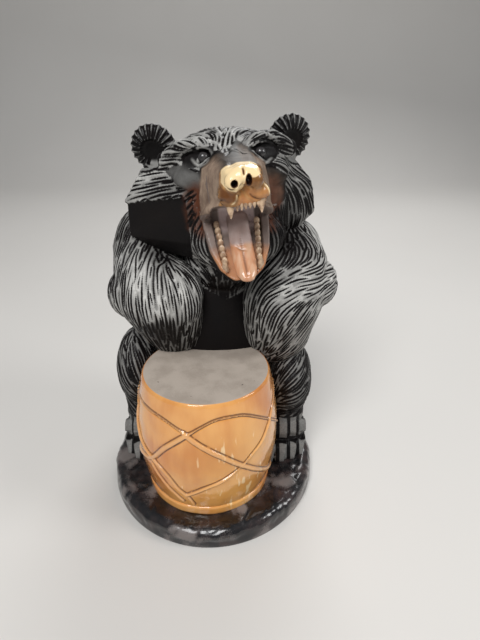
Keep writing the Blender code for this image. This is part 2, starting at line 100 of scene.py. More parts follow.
def loft(clay, sections, side=(1, 0, 0), steps=6, segments=36):
    rows = smoothPath([(*c, w, d) for c, w, d in sections], steps)
    rings = []
    for i, row in enumerate(rows):
        along = Vector(rows[min(i + 1, len(rows) - 1)][:3] - rows[max(i - 1, 0)][:3]).normalized()
        rings.append((Vector(row[:3]), along, row[3], row[4]))
    domes = []
    for (centre, along, width, depth), sign in ((rings[0], -1), (rings[-1], 1)):
        reach = min(width, depth)
        dome = []
        for k in range(1, 6):
            angle = k / 5 * math.radians(86)
            dome.append((centre + along * sign * reach * math.sin(angle), along,
                         width * math.cos(angle), depth * math.cos(angle)))
        domes.append(dome)
    loops = []
    for centre, along, width, depth in domes[0][::-1] + rings + domes[1]:
        across = (Vector(side) - along * along.dot(Vector(side))).normalized()
        up = along.cross(across)
        loops.append([clay.verts.new(centre + across * width * math.cos(a) + up * depth * math.sin(a))
                      for a in (2 * math.pi * k / segments for k in range(segments))])
    for lower, upper in zip(loops, loops[1:]):
        for k in range(segments):
            n = (k + 1) % segments
            clay.faces.new((lower[k], lower[n], upper[n], upper[k]))
    clay.faces.new(loops[0][::-1])
    clay.faces.new(loops[-1])


def limb(clay, grid, sections, side=(1, 0, 0), steps=6, segments=36):
    loft(clay, [(grid(x, y, z), w * unit, d * unit) for x, y, z, w, d in sections], side, steps, segments)


def torso(clay):
    limb(clay, figure, [(1, 42, 28, 46, 28), (1, 41, 48, 54, 33), (2, 41, 78, 56, 39), (4, 42, 114, 54, 38),
                        (7, 44, 146, 54, 33), (10, 42, 170, 48, 32), (12, 34, 190, 38, 28)], segments=60)
    egg(clay, figure(3, 33, 90), (42, 31, 42), segments=64)
    egg(clay, figure(10, 20, 148), (30, 22, 26))
    egg(clay, figure(0, 75, 22), (9, 9, 10))


# toes of one foot, from the drum outward, as (distance from the bear's middle, how far forward, height)
toes = ((41.5, -5.5, 27.5), (50.0, -5.0, 27.5), (58.0, -2.0, 25.0), (64.5, 3.0, 21.0))


def legs(clay):
    for side, thighZ in ((-1, 62), (1, 52)):
        middle = side * 54 + 1.5
        egg(clay, figure(middle + side, 22, thighZ), (17, 28, 30))
        egg(clay, figure(middle - side * 6, 44, thighZ - 12), (18, 30, 32))
        limb(clay, figure, [(middle, 18, thighZ - 8, 16, 19), (middle - side, 16, 36, 14, 16),
                            (middle - side, 15, 26, 14, 14)])
        egg(clay, figure(middle, 14, 10), (14, 16, 13))
        for x, front, top in toes:
            foot(clay, side, x + 1.5 * side, front, top)


def foot(clay, side, x, front, top):  # a knuckle with a broad nail below it
    knuckle = [figure(side * (x + s * 3.8), front + back, z) for s in (-1, 1)
               for back, z in ((1.4, 12.6), (-0.6, 0.7 * top), (2.0, top - 1.5), (5, top), (15, top - 3),
                               (14, 8))]
    nail = [figure(side * (x + s * 3.9), front - 0.5, 0.42 * top) for s in (-1, 1)]
    nail += [figure(side * (x + s * 3.5 - 1.2), front - 4.5, 0.34 * top) for s in (-1, 1)]
    nail += [figure(side * (x + s * 3.2 - 2.6), front - 9.0, z) for s in (-1, 1) for z in (-1, 1.5)]
    nail += [figure(side * (x + s * 3.8), front + 8, z) for s in (-1, 1) for z in (-1, 0.38 * top)]
    block(clay, knuckle)
    block(clay, nail)


def leftArm(clay):
    paw = (drumTop - slab["thickness"]) / unit
    limb(clay, figure, [(-46, 24, 150, 18, 21), (-39, 9, 139, 23, 20), (-31.5, 1, 127, 28, 22),
                        (-28, 4, 110, 24, 18), (-24, 10, paw + 5, 18, 12), (-23, 15, paw - 6, 13, 8)])
    egg(clay, figure(-44, 28, 148), (20, 26, 30))
    egg(clay, figure(-52, 6, 127), (14, 17, 17))


def rightArm(clay):
    paw = (drumTop - slab["thickness"]) / unit
    limb(clay, figure, [(54, 24, 150, 20, 22), (52, 6, 142, 25, 21), (48, -1, 128, 26, 21),
                        (46, 3, 110, 24, 18),
                        (46, 9, paw + 5, 21, 13), (46, 13, paw - 6, 16, 9)])
    egg(clay, figure(55, 28, 142), (21, 26, 27))
    egg(clay, figure(68, 6, 134), (15, 17, 17))


def skull(clay):
    egg(clay, head(-2, 8, 0), (44, 38, 36), headTurn)
    egg(clay, head(0, -3, 16), (35, 24, 20), headTurn)
    egg(clay, head(0, -16, -24), (30, 20, 20), headTurn)
    middle = -6.0
    for s in (-1, 1):
        edge = [(57, 0, 1), (59, 1, -20 + 1.8 * s), (40, 0, -35), (12, -22, -8), (12, -24, -26),
                (6, -18, -40)]
        edge += [(44, 2, 18), (32, -8, 19), (44, 26, 12), (46, 26, -20), (30, 24, -36), (52, 14, 2),
                 (24, -24, 5)]
        block(clay, [head(middle + s * x, y, z) for x, y, z in edge])


# ears, as (x, y, z, radius, turn in degrees) on the head's grid
earPlaces = ((-41.5, 9.0, 27.5, 14.3, -14.0), (38.5, 9.0, 25.5, 14.6, 14.0))


def earTurn(turn):
    return headTurn @ Matrix.Rotation(math.radians(turn), 3, "Z") @ Matrix.Rotation(math.radians(12), 3, "X")


def ears(clay):
    for x, y, z, size, turn in earPlaces:
        egg(clay, head(x, y, z), (size, 6, size), earTurn(turn))
        egg(clay, head(x * 0.86, y + 6, z - 9), (size * 0.7, 8, size * 0.8), earTurn(turn))


def earCups(cuts):
    for x, y, z, size, turn in earPlaces:
        face = earTurn(turn)
        egg(cuts, head(x, y, z) + face @ Vector((0, -7.5, -1)) * unit, (size * 0.60, 5.2, size * 0.60), face)


# pad, wings, lips and lower lip of the nose, as (x from its middle, y, z, and three radii)
noseLobes = ((0, -60.5, 19.5, 8.6, 6.2, 5.2), (-5.6, -63.2, 17.6, 4.1, 4.2, 4.6),
             (5.2, -62.6, 17.6, 4.2, 4.2, 5.0),
             (-5.8, -57.0, 10.4, 7.2, 7.2, 6.4), (5.6, -56.8, 11.0, 7.6, 7.0, 5.6),
             (1.6, -57, 7.8, 7.0, 5.0, 3.2))


def muzzle(clay):
    flank = [(19.5, -18, 19), (21.5, -22, 3), (20.5, -26, -8), (10, -18, 27)]
    front = [(8.4, -61, 22.5), (9.6, -60, 14), (8.6, -58, 5.5), (4.5, -60, 24.5)]
    points = [head(s * x, y, z) for s in (-1, 1) for x, y, z in flank]
    points += [head(noseX + s * x, y, z) for s in (-1, 1) for x, y, z in front]
    block(clay, points)
    limb(clay, head, [(0, -16, 23, 12, 7), (0, -32, 21.5, 10, 6), (0.8, -48, 20, 9, 5),
                      (noseX, -59, 19.2, 8.2, 4.8)])
    for x, y, z, *radii in noseLobes:
        egg(clay, head(noseX + x, y, z), radii, headTurn)
    for s in (-1, 1):
        limb(clay, head, [(s * 9 + noseX, -54, 5.4, 2.4, 2.6), (s * 15.5, -42, 0.5, 2.2, 2.6),
                          (s * 18.8, -30, -6.0, 2.2, 2.4)])


def brows(clay):
    for s in (-1, 1):
        limb(clay, head, [(s * 4, -22, 25, 3, 3), (s * 13, -22, 30.5, 3.6, 3.4), (s * 24, -15, 30, 4.6, 4),
                          (s * 35, -6, 22, 5, 5)], side=(0, 1, 0))
        egg(clay, head(s * 20, -17, 12), (13, 10, 9), headTurn)


def jaw(clay):
    rim = [(18.5, -29, -8), (18.2, -34, -12), (16.4, -43, -22), (12.2, -50, -30.5), (4.8, -54.5, -35)]
    under = [(20, -16, -30), (14, -34, -36), (6, -44, -41), (20, -14, -14)]
    block(clay, [head(s * x - 0.8, y, z) for s in (-1, 1) for x, y, z in rim + under])


def mouth(cuts):
    roof = [(14, -26, -4), (14, -44, 1.6), (9, -58, 5), (8, -84, 5)]
    floor = [(13.5, -28, -10), (12.4, -40, -23.5), (8.4, -47, -31.5), (7, -54, -39.5), (7, -84, -39.5)]
    block(cuts, [head(s * x - 0.6, y, z) for s in (-1, 1) for x, y, z in roof + floor])


# nostrils, as (x, y, z, half width, half height)
nostrilPlaces = ((-3.4, -66.5, 17.4, 1.5, 1.6), (3.6, -66.0, 18.4, 1.3, 2.6))


def nostrils(cuts):
    for x, y, z, wide, tall in nostrilPlaces:
        egg(cuts, head(x, y, z), (wide, 4.4, tall), headTurn)


eyePlaces = ((-14.6, -23.6, 24.0), (16.2, -23.6, 23.6))


def sockets(cuts):
    for s, (x, y, z) in zip((-1, 1), eyePlaces):
        face = headTurn @ Matrix.Rotation(s * math.radians(30), 3, "Z")
        face = face @ Matrix.Rotation(s * math.radians(9), 3, "Y")
        egg(cuts, head(x + s * 4.0, y - 5.2, z + 0.6), (11, 5.4, 5.6), face)


def eyes(clay):
    for x, y, z in eyePlaces:
        egg(clay, head(x, y + 0.6, z), (3.0, 2.8, 2.9), headTurn)


def tongue(clay):
    limb(clay, head, [(0.2, -27, -9, 6.2, 3.4), (0.4, -37, -19.5, 6.3, 3.4), (0.8, -46, -28.5, 6.4, 3.2),
                      (0.9, -52.0, -33.2, 5.4, 2.8), (0.9, -54.2, -34.7, 4.0, 2.2)])


def teeth(clay):
    for s in (-1, 1):
        for k in range(7):
            share = k / 6
            spot = head(s * (11.2 - 1.6 * share) - 0.6, -31.5 - 14.5 * share, -11 - 16 * share)
            egg(clay, spot, (1.7, 1.35, 2.6), headTurn, 12)
        fang(clay, (s * 9.6 - 0.6, -48, -31), (s * 9.8 - 0.6, -50.5, -24.5), 2.0)
    fang(clay, (-5.6, -59, 6), (-5.8, -61, 0.2), 2.1)
    fang(clay, (9.6, -59, 8), (9.4, -61.5, 2), 2.2)
    for k in range(6):
        x = -2.4 + k * 2.1
        fang(clay, (x, -60.2, 7), (x, -61.2, 3.4 + k * 0.2), 1.25)


def fang(clay, root, tip, radius):
    a, b, r = head(*root), head(*tip), radius * unit
    loft(clay, [(a, r, r), ((a + b) / 2, 0.75 * r, 0.75 * r), (b, 0.2 * r, 0.2 * r)], steps=2, segments=12)


# meshes out of clay
def newObject(name, mesh):
    thing = bpy.data.objects.new(name, mesh)
    bpy.context.scene.collection.objects.link(thing)
    return thing


def evaluated(thing):
    bpy.context.view_layer.update()
    mesh = bpy.data.meshes.new_from_object(thing.evaluated_get(bpy.context.evaluated_depsgraph_get()))
    bpy.data.objects.remove(thing)
    return mesh


def cast(*makers):
    clay = bmesh.new()
    for make in makers:
        make(clay)
    mesh = bpy.data.meshes.new("clay")
    clay.to_mesh(mesh)
    clay.free()
    return newObject("clay", mesh)


def skinned(thing, voxel, softSteps):
    remesh = thing.modifiers.new("skin", "REMESH")
    remesh.mode = "VOXEL"
    remesh.voxel_size = voxel
    if softSteps:
        soften = thing.modifiers.new("soften", "SMOOTH")
        soften.factor = 0.5
        soften.iterations = softSteps
    return evaluated(thing)


def hollowed(mesh, cutter):
    thing = newObject("whole", mesh)
    cut = thing.modifiers.new("hollow", "BOOLEAN")
    cut.operation = "DIFFERENCE"
    cut.solver = "EXACT"
    cut.object = cutter
    mesh = evaluated(thing)
    bpy.data.objects.remove(cutter)
    return mesh


def largestSkin(mesh):
    solid = bmesh.new()
    solid.from_mesh(mesh)
    loose, skins = set(solid.verts), []
    while loose:
        reached = [loose.pop()]
        for vert in reached:
            for edge in vert.link_edges:
                other = edge.other_vert(vert)
                if other in loose:
                    loose.remove(other)
                    reached.append(other)
        skins.append(reached)
    for skin in skins:
        if len(skin) < 2000:  # bubbles shut in at creases
            bmesh.ops.delete(solid, geom=skin, context="VERTS")
    solid.to_mesh(mesh)
    solid.free()
    return mesh


# how the coat lies: a place on the figure's grid, the way the hair runs, and how pale its ridges are; the
# paleness is mostly dry-brushed paint, but partly painted light: painted shadow just under the ruff and at
# the bottom of the left forearm, and a painted highlight on the left chest
coat = (
    ((12, -14, 224), (0.1, 0.4, 1), 0.62), ((-6, -8, 222), (-0.8, 0.5, 0.4), 0.55),
    ((34, -8, 224), (0.9, 0.5, 0.3), 0.42), ((-24, 0, 212), (-1, 0.5, -0.1), 0.60),
    ((46, 0, 214), (1, 0.5, -0.4), 0.42), ((-40, 0, 200), (-1, 0.5, -0.25), 0.62),
    ((58, 0, 202), (1, 0.4, -0.6), 0.42), ((-20, -16, 200), (-1, 0.5, -0.15), 0.45),
    ((44, -12, 200), (1, 0.4, -0.8), 0.38), ((-14, -20, 186), (-0.7, 0.2, -0.9), 0.12),
    ((40, -18, 184), (0.3, 0.1, -1), 0.09), ((54, -4, 180), (0.2, 0.1, -1), 0.10),
    # very low paleness just under the ruff: painted shadow of the ruff
    ((48, -4, 168), (0.1, 0.1, -1), 0.03), ((-25, -4, 160), (-0.5, 0.3, -1), 0.03),
    ((10, 30, 230), (0, 1, -0.1), 0.40),
    ((10, 52, 200), (0, 0.5, -1), 0.35), ((-45, 40, 190), (-0.5, 0.6, -0.8), 0.38),
    ((60, 40, 190), (0.5, 0.6, -0.8), 0.38), ((0, 76, 120), (0, 0, -1), 0.35),
    ((0, 78, 60), (0, 0, -1), 0.26),
    ((-60, 45, 120), (0, 0.1, -1), 0.36), ((66, 45, 120), (0, 0.1, -1), 0.36),
    ((-62, 24, 172), (-0.5, -0.6, -0.8), 0.28), ((-66, 20, 150), (-0.2, -0.5, -1), 0.42),
    ((-66, 6, 126), (0.3, -0.4, -1), 0.42), ((-38, -18, 150), (0, -0.3, -1), 1.00),
    ((-14, -16, 138), (0, 0, -1), 0.95),
    # the low paleness at the bottom of the left forearm is painted shadow
    ((-30, -20, 128), (0.1, 0.1, -1), 0.85), ((-30, -16, 110), (0, 0.2, -1), 0.08),
    ((74, 20, 160), (0.2, -0.6, -0.8), 0.75), ((78, 0, 138), (-0.9, -0.5, -0.2), 0.72),
    ((62, -16, 142), (-1, -0.1, -0.12), 0.66), ((44, -20, 138), (-1, 0, -0.5), 0.64),
    ((30, -14, 128), (-0.35, 0, -1), 0.50), ((40, -18, 112), (-0.2, 0.1, -1), 0.55),
    ((58, -14, 116), (-0.45, 0.1, -1), 0.60), ((66, -4, 108), (-0.3, 0.1, -1), 0.50),
    ((-68, 20, 66), (0.6, -0.6, -0.9), 0.26), ((70, 20, 60), (-0.9, -0.5, -0.55), 0.22),
    ((64, 0, 40), (-0.9, -0.3, -0.35), 0.18), ((-60, 0, 40), (0.6, -0.4, -0.7), 0.20),
    ((-62, 50, 50), (0, -0.5, -1), 0.26), ((64, 50, 50), (0, -0.5, -1), 0.26),
    # the paler left chest is a painted highlight on its glossy ridges
    ((-8, 0, 146), (0.85, -0.1, -0.8), 0.55), ((24, 0, 146), (-0.85, -0.1, -0.8), 0.25),
    ((0, -12, 158), (0.8, -0.1, -0.9), 0.40),
    ((8, -4, 128), (0, 0, -1), 0.02),
)


def coatAt(points):  # the way, and the paleness from wear and painted light, at each point, blended from the places near it
    places = np.array([figure(*place) for place, way, worn in coat])
    ways = np.array([Vector(way).normalized() for place, way, worn in coat])
    wearAndLight = np.array([worn for place, way, worn in coat])
    weights = 1 / ((((points[:, None] - places) / unit) ** 2).sum(2) + 9) ** 1.5
    weights /= weights.sum(1)[:, None]
    run = weights @ ways
    return run / np.linalg.norm(run, axis=1)[:, None], weights @ wearAndLight


def meshArrays(mesh):
    points = np.empty(len(mesh.vertices) * 3, np.float32)
    normals = np.empty(len(mesh.vertices) * 3, np.float32)
    mesh.vertices.foreach_get("co", points)
    mesh.vertices.foreach_get("normal", normals)
    return points.reshape(-1, 3).astype(float), normals.reshape(-1, 3).astype(float)


def movePoints(mesh, points):
    mesh.vertices.foreach_set("co", points.astype(np.float32).ravel())
    mesh.update()


def ramp(low, high, values):
    t = np.clip((values - low) / (high - low), 0, 1)
    return t * t * (3 - 2 * t)


def inFigure(points):  # points in the figure's own grid
    return (points - np.array(figure(0, 0, 0))) / unit


def inHead(points):  # points in the head's own grid
    return (inFigure(points) - np.array(headOrigin)) @ np.array(headTurn)


def near(points, centre, radius):
    return np.linalg.norm(points - np.array(centre), axis=1) < radius * unit


def within(face, corners, soft=1.0):  # 1 inside a polygon seen from the front, 0 outside, soft between
    x, z = face[:, 0], face[:, 2]
    inside, gap = np.zeros(len(x), bool), np.full(len(x), 99.0)
    for (x0, z0), (x1, z1) in zip(corners, corners[1:] + corners[:1]):
        inside ^= ((z0 > z) != (z1 > z)) & (x < x0 + (z - z0) / (z1 - z0 + 1e-9) * (x1 - x0))
        t = np.clip(((x - x0) * (x1 - x0) + (z - z0) * (z1 - z0)) / ((x1 - x0) ** 2 + (z1 - z0) ** 2), 0, 1)
        gap = np.minimum(gap, np.hypot(x - x0 - t * (x1 - x0), z - z0 - t * (z1 - z0)))
    return ramp(-soft, soft, np.where(inside, gap, -gap))


# the smooth flat under the left ruff, below the last ragged row of locks
flat = {"edge": ((-70, 0.5), (-61, 0), (-47, 3), (-35, 4.5), (-27, 5.5)), "drop": 1.5, "tooth": 1.3}


def flatEdge(points):  # how far a point lies below the ragged edge, in units, and 0 away from the flat
    face = inHead(points)
    edgeX, edgeZ = np.array(flat["edge"]).T
    ragged = flat["tooth"] * np.abs((face[:, 0] * 0.31 + 0.4 * np.sin(face[:, 0] * 0.9)) % 2 - 1)
    below = np.interp(face[:, 0], edgeX, edgeZ) - ragged - face[:, 2]
    return np.where((face[:, 0] < -24) & (face[:, 1] < 4), below, 0)


# smooth patches of the face, as polygons seen from the front on the head's grid
patches = {
    "socketLeft": [(-26.7, 18.8), (-25.2, 26.4), (-18.3, 30.3), (-8.8, 29.4), (-8.4, 23.3), (-15.3, 19.3)],
    "socketRight": [(10.5, 20), (10, 27.5), (15, 30), (24, 28), (28, 21), (22, 18), (15, 18.4)],
    "underEye": [(-36.6, 17), (-28.6, 20.8), (-19.7, 17.8), (-14.7, 14.1), (-17, 8), (-24, 7), (-31, 11)],
    "bridge": [(2.5, 28.4), (5.8, 30), (9.8, 27.7), (9.5, 22.7), (5.6, 21), (2.1, 23.4)],
    "forehead": [(-3, 26), (-1, 20.5), (9, 20), (10, 27), (4, 31)],
    "mauve": [(15, 18), (23, 16), (31, 10), (30, -4), (21, -9), (18, 4)],
    "pad": [(-8.9, 16.6), (-8.2, 23), (-3.5, 26.5), (8.5, 26), (9.4, 20.5), (6.6, 19.4), (2.1, 19.5),
            (0.6, 14.1),
            (-2.7, 13.2), (-6.4, 14.2)],
    # where shade is painted under the nose pad's left wing
    "padUnderShade": [(-9.5, 15.3), (-6.2, 13.4), (-2.6, 12.4), (-2.4, 8.6), (-6.6, 7.8), (-10.5, 9.5)],
    # where shade is painted on the nose's right wing
    "wing": [(5.6, 19.8), (10.5, 18.6), (12.8, 12.9), (6.9, 13.8), (4.8, 16.3)],
    "lipRight": [(1.6, 14), (12.8, 13.4), (14.5, 7), (6.2, 6.6), (3.0, 9.5)],
    "gum": [(0.2, 12.6), (-2.4, 6.2), (-1.5, 4.5), (8, 5.6), (6.5, 7.4), (2.4, 8.8)],
}


def bareHead(points):  # where the gouge left no hair on the head: snout, mouth, eyes, ear cups and the flat
    face = inHead(points)
    snout = ramp(-20, -32, face[:, 1]) * (np.abs(face[:, 0]) < 23)
    bare = (snout > 0.45) & (face[:, 2] > -14) & (face[:, 2] < 24 + 0.1 * (face[:, 1] + 60))
    bare |= near(points, head(0, -44, -24), 22)
    bare |= (flatEdge(points) > 0) & (face[:, 0] < -27)
    for name in ("socketLeft", "socketRight", "underEye", "forehead", "mauve"):
        bare |= (within(face, patches[name]) > 0.5) & (face[:, 1] < -4)
    for x, y, z, size, turn in earPlaces:
        bare |= near(points, head(x, y - 3, z), size * 1.10)
    return bare


def bareBody(points):  # the belly under the carved chest
    grid = inFigure(points)
    x, y, z = grid.T
    return (y < 12) & (np.abs(x - 6) < 38) & (z < 122 + 0.5 * np.abs(x - 12))


def bareLegs(points):  # toes and nails
    grid = inFigure(points)
    return (grid[:, 2] < 29) & (grid[:, 1] < 12 - 0.4 * (grid[:, 2] - 20))


def bareArms(points):  # the smooth caps of the elbows
    return near(points, figure(-68, 4, 132), 9) | near(points, figure(83, 2, 128), 7)


gouge = {"spacing": 1.8, "longest": 46.0, "shortest": 5.0, "step": 1.1, "width": 2.2, "depth": 1.0,
         "seed": 11}
lock = {"spacing": 8.5, "longest": 26.0, "shortest": 9.0, "step": 1.4, "width": 5.2, "depth": 1.0, "seed": 7}


def strokesOver(mesh, tool, bareAt):  # strokes side by side along the coat, a spacing apart
    solid = bmesh.new()
    solid.from_mesh(mesh)
    skin = BVHTree.FromBMesh(solid)
    solid.free()
    centres = np.empty(len(mesh.polygons) * 3, np.float32)
    mesh.polygons.foreach_get("center", centres)
    centres = centres.reshape(-1, 3).astype(float)
    ways = coatAt(centres)[0]
    bare = bareAt(centres)
    normals = [p.normal.copy() for p in mesh.polygons]
    rng = np.random.default_rng(tool["seed"])
    cell = tool["spacing"] * unit
    taken = {}

    def crowded(spot, gap):
        x, y, z = (int(c // cell) for c in spot)
        for i in (x - 1, x, x + 1):
            for j in (y - 1, y, y + 1):
                for k in (z - 1, z, z + 1):
                    for other in taken.get((i, j, k), ()):
                        if (other - spot).length_squared < gap * gap:
                            return True
        return False

    def traced(spot, face, sign, reach):
        spots, normal = [], normals[face]
        for k in range(round(reach / tool["step"])):
            along = Vector(ways[face]) * sign
            along = (along - normal * along.dot(normal)).normalized()
            spot, newNormal, face = skin.find_nearest(spot + along * tool["step"] * unit)[:3]
            if newNormal.dot(normal) < 0.3 or bare[face] or crowded(spot, cell * 0.7):
                break
            normal = newNormal
            spots.append(spot)
        return spots

    strokes = []
    for face in rng.permutation(len(centres)):
        if bare[face]:
            continue
        start = Vector(centres[face])
        if crowded(start, cell):
            continue
        reach = tool["longest"] / 2 * rng.uniform(0.45, 1)
        stroke = traced(start, face, -1, reach)[::-1] + [start] + traced(start, face, 1, reach)
        if len(stroke) * tool["step"] < tool["shortest"]:
            continue
        strokes.append(stroke)
        for spot in stroke:
            taken.setdefault(tuple(int(c // cell) for c in spot), []).append(spot)
    return strokes


def cutStrokes(mesh, strokes, width, depth, narrow=1.0, seed=0):  # a V along each stroke, and how deep it got
    tree = KDTree(len(mesh.vertices))
    for vert in mesh.vertices:
        tree.insert(vert.co, vert.index)
    tree.balance()
    rng = np.random.default_rng(seed)
    half = width / 2 * unit
    cut, strand = np.zeros(len(mesh.vertices)), np.full(len(mesh.vertices), 0.5)
    for stroke in strokes:
        shade, force = rng.uniform(), rng.uniform(0.75, 1)
        for k, spot in enumerate(stroke):
            strength = force * math.sin(math.pi * (k + 0.7) / (len(stroke) + 0.4)) ** 0.5
            reach = half * (narrow + (1 - narrow) * k / len(stroke))
            for co, index, gap in tree.find_range(spot, reach):
                here = strength * min(1, 1.3 * (1 - gap / reach))
                if here > cut[index]:
                    cut[index], strand[index] = here, shade
    points, normals = meshArrays(mesh)
    movePoints(mesh, points - normals * (cut * depth * unit)[:, None])
    return cut, strand


def addLayer(mesh, name, values):
    layer = mesh.attributes.new(name, "FLOAT", "POINT")
    layer.data.foreach_set("value", np.asarray(values, np.float32))


# blades, as (width, depth, share of the width that a stroke starts with), and rings round the eyes, in units
blades = {"flute": (4.9, 1.3, 0.45), "ridge": (2.4, -0.9), "line": (2.1, 1.2), "crease": (3.0, 0.6)}
eyeRings = {"ridge": 4.6, "line": 3.1}
skins = {}


def snapped(mesh, path, steps=12):  # a path laid onto a mesh, as spots close together
    if skins.get("mesh") != mesh.name:
        solid = bmesh.new()
        solid.from_mesh(mesh)
        skins.update(mesh=mesh.name, tree=BVHTree.FromBMesh(solid))
        solid.free()
    return [skins["tree"].find_nearest(Vector(row))[0] for row in smoothPath([tuple(p) for p in path], steps)]


# the run of an ear's flute, as (share of the ear's radius, depth)
fluteCurve = ((0.36, -3.4), (0.52, -4.8), (0.68, -6.2), (0.84, -5.2), (0.97, -2.6), (1.02, 0), (0.9, 4))


def earFlutes(mesh):  # from inside the cup over the rim to the back
    strokes = []
    for x, y, z, size, turn in earPlaces:
        face = earTurn(turn)
        for k in range(19):
            angle = math.radians(-62 + 304 * k / 18)
            ray = Vector((math.cos(angle), 0, math.sin(angle)))
            stroke = []
            for share, deep in fluteCurve:
                stroke.append(face @ (ray * size * share + Vector((0, deep, 0))) * unit + head(x, y, z))
            strokes.append(snapped(mesh, stroke, 6))
    return strokes


# lines that a narrow blade left on the face, on the head's grid
faceCuts = (
    ((0.6, -67, 17.0), (0.4, -67, 13.2), (-1.6, -66, 8.8), (-4, -65, 5.4)),
    ((0.6, -67, 15.5), (2.6, -67, 10.4), (7, -65, 7.0), (14, -60, 6.8)),
    ((1.4, -62, 24), (1.4, -66, 20.6)),
    ((-9.4, -63, 18), (-8.4, -65, 14.6), (-5.6, -67, 12.9), (-2.6, -67, 13.4)),
    ((-13, -48, 4), (-10, -55, 8.6), (-8.5, -62, 9.2)), ((-12, -50, 8.6), (-9.5, -58, 11.6)),
    ((-10, -57, 3.0), (-14, -46, -0.2), (-18, -34, -3.8), (-20, -30, -6)),
    ((12.5, -56, 5.2), (16, -46, 0.6), (19, -33, -4)),
    ((-26, -12, 19), (-23, -16, 26), (-17, -20, 30)), ((-13, -22, 29), (-9, -22, 28.6), (-6, -24, 27)),
    ((11, -24, 27), (14, -24, 30), (20, -22, 29.5), (26, -16, 25), (29, -12, 19)),
    ((2.2, -30, 29), (2.0, -32, 24), (5.4, -36, 20.6), (9.8, -32, 19)),
)
# raised lines: brows, lids, the bars of the bridge, the edge of the snout and the strip between the nostrils
faceRidges = (
    ((-34, -8, 23), (-26.4, -14, 29.6), (-20.7, -18, 32.4), (-14.2, -20, 33.8), (-7.3, -22, 33.6),
     (0.2, -24, 28.6)),
    ((-30, -10, 21.6), (-21.2, -18, 29.4), (-13, -22, 31), (-6.2, -24, 29.6), (-2.2, -26, 25.7)),
    ((-21, -20, 23.4), (-18.4, -22, 20.4), (-15.3, -24, 19.0), (-12, -25, 20.2), (-9.6, -26, 23)),
    ((7, -24, 27.5), (9.4, -24, 30.6), (14, -22, 32.6), (21, -20, 31.6), (28, -13, 26.6)),
    ((11, -27, 21), (14, -27, 18.2), (18, -25, 18.2), (22, -20, 18)),
    ((6.0, -28, 28), (7.6, -30, 23.4), (10.2, -32, 19.4), (13, -34, 16.4)),
    ((0.8, -28, 30), (0.6, -32, 25), (3.6, -36, 21.4)),
    ((-19.4, -34, 17), (-20.8, -31, 8), (-20.8, -30, -3)),
    ((-0.6, -67.5, 16.5), (-1.4, -67, 11.8), (-2.8, -66, 8), (-6, -64, 6)),
    ((10.6, -62, 19.0), (12.8, -61, 14.0), (14.4, -60, 8.4)),
)


def faceLines(mesh, lines, ringSize):
    paths = [[head(*spot) for spot in line] for line in lines]
    for x, y, z in eyePlaces:  # the ring round each eye
        paths.append([head(x + ringSize * math.cos(a), y - 2.4, z + ringSize * 0.92 * math.sin(a))
                      for a in (math.radians(30 * k) for k in range(13))])
    return [snapped(mesh, path) for path in paths]


def mouthDepth(points):  # how far each point is inside or outside the open mouth, in units, below 0 inside
    solid = bmesh.new()
    mouth(solid)
    bmesh.ops.recalc_face_normals(solid, faces=solid.faces)
    hull = BVHTree.FromBMesh(solid)
    solid.free()
    face = inHead(points)
    depth = np.full(len(points), 99.0)
    x, y, z = face.T
    for index in np.flatnonzero((np.abs(x) < 24) & (y < -18) & (np.abs(z + 16) < 34)):
        spot = Vector(points[index])
        found, normal, _, gap = hull.find_nearest(spot)
        depth[index] = gap / unit * (1 if (spot - found).dot(normal) > 0 else -1)
    return depth


def headTones(points):  # how far each finish of the head, and each patch of painted shade, covers each point
    face = inHead(points)
    x, y, z = face.T
    depth = mouthDepth(points)
    floorHeight = -(y + 30) * 0.760 + (z + 7) * 0.648
    onJaw = ramp(-3.0, -1.6, floorHeight) * ramp(-26, -30, y) * ramp(0.5, -1.5, z + 0.33 * (y + 30) + 5)
    flesh = np.maximum(ramp(1.0, 0.4, depth), onJaw * (np.abs(x) < 20.5))
    snout = ramp(-12, -8, z + 0.35 * (y + 30)) * (1 - flesh)
    gold = ramp(-47, -55, y + 0.45 * np.maximum(z - 20, 0) + 0.3 * np.abs(x - noseX)) * snout
    gold = np.maximum(gold, ramp(-50, -56, y) * snout * (z < 14))
    brown = ramp(-25, -33, y) * snout * ramp(30, 19, z - 0.1 * (y + 30))
    brown = np.maximum(brown, 0.26 * within(face, patches["mauve"], 5) * (y < -8))
    brown = np.maximum(brown, 0.30 * within(face, patches["bridge"], 1.5) * (y < -20)) * (1 - gold)
    around = np.hypot(np.maximum(np.abs(x) - 19, 0) * 0.8, np.maximum(np.abs(z + 4) - 9, 0))
    front = y < -48
    # painted shade under the left wing of the nose and over its right wing
    shade = np.maximum(within(face, patches["padUnderShade"], 1.2),
                       0.55 * within(face, patches["wing"], 1.4)) * front
    # inside the nostrils the colour goes deep and then near black: painted shade in the holes
    for nx, ny, nz, wide, tall in nostrilPlaces:
        inside = ramp(1.35, 0.95, np.hypot((x - nx) / wide, (z - nz) / tall)) * (y < -57)
        shade, gold = np.maximum(shade, inside * 2), np.maximum(gold, inside)
    gum = np.maximum(within(face, patches["gum"], 0.7), 0.6 * within(face, patches["lipRight"], 0.8)) * front
    # pitShade: painted shade, darker the deeper a point lies inside the open mouth
    return {"warm": ramp(13, 2, around) * ramp(-2, -18, y) * (1 - flesh), "brown": brown, "gold": gold,
            "flesh": flesh, "pad": within(face, patches["pad"], 0.8) * front, "shade": shade, "gum": gum,
            "throat": ramp(12, 8, np.abs(x)) * ramp(-20, -10, z) * ramp(-40, -34, y),
            "copper": ramp(-14, -32, z), "pitShade": ramp(-1.6, -4.0, depth) * ramp(-9, -13, z)}


def dressed(piece):
    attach(piece, "root")
    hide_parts("carved_bear")


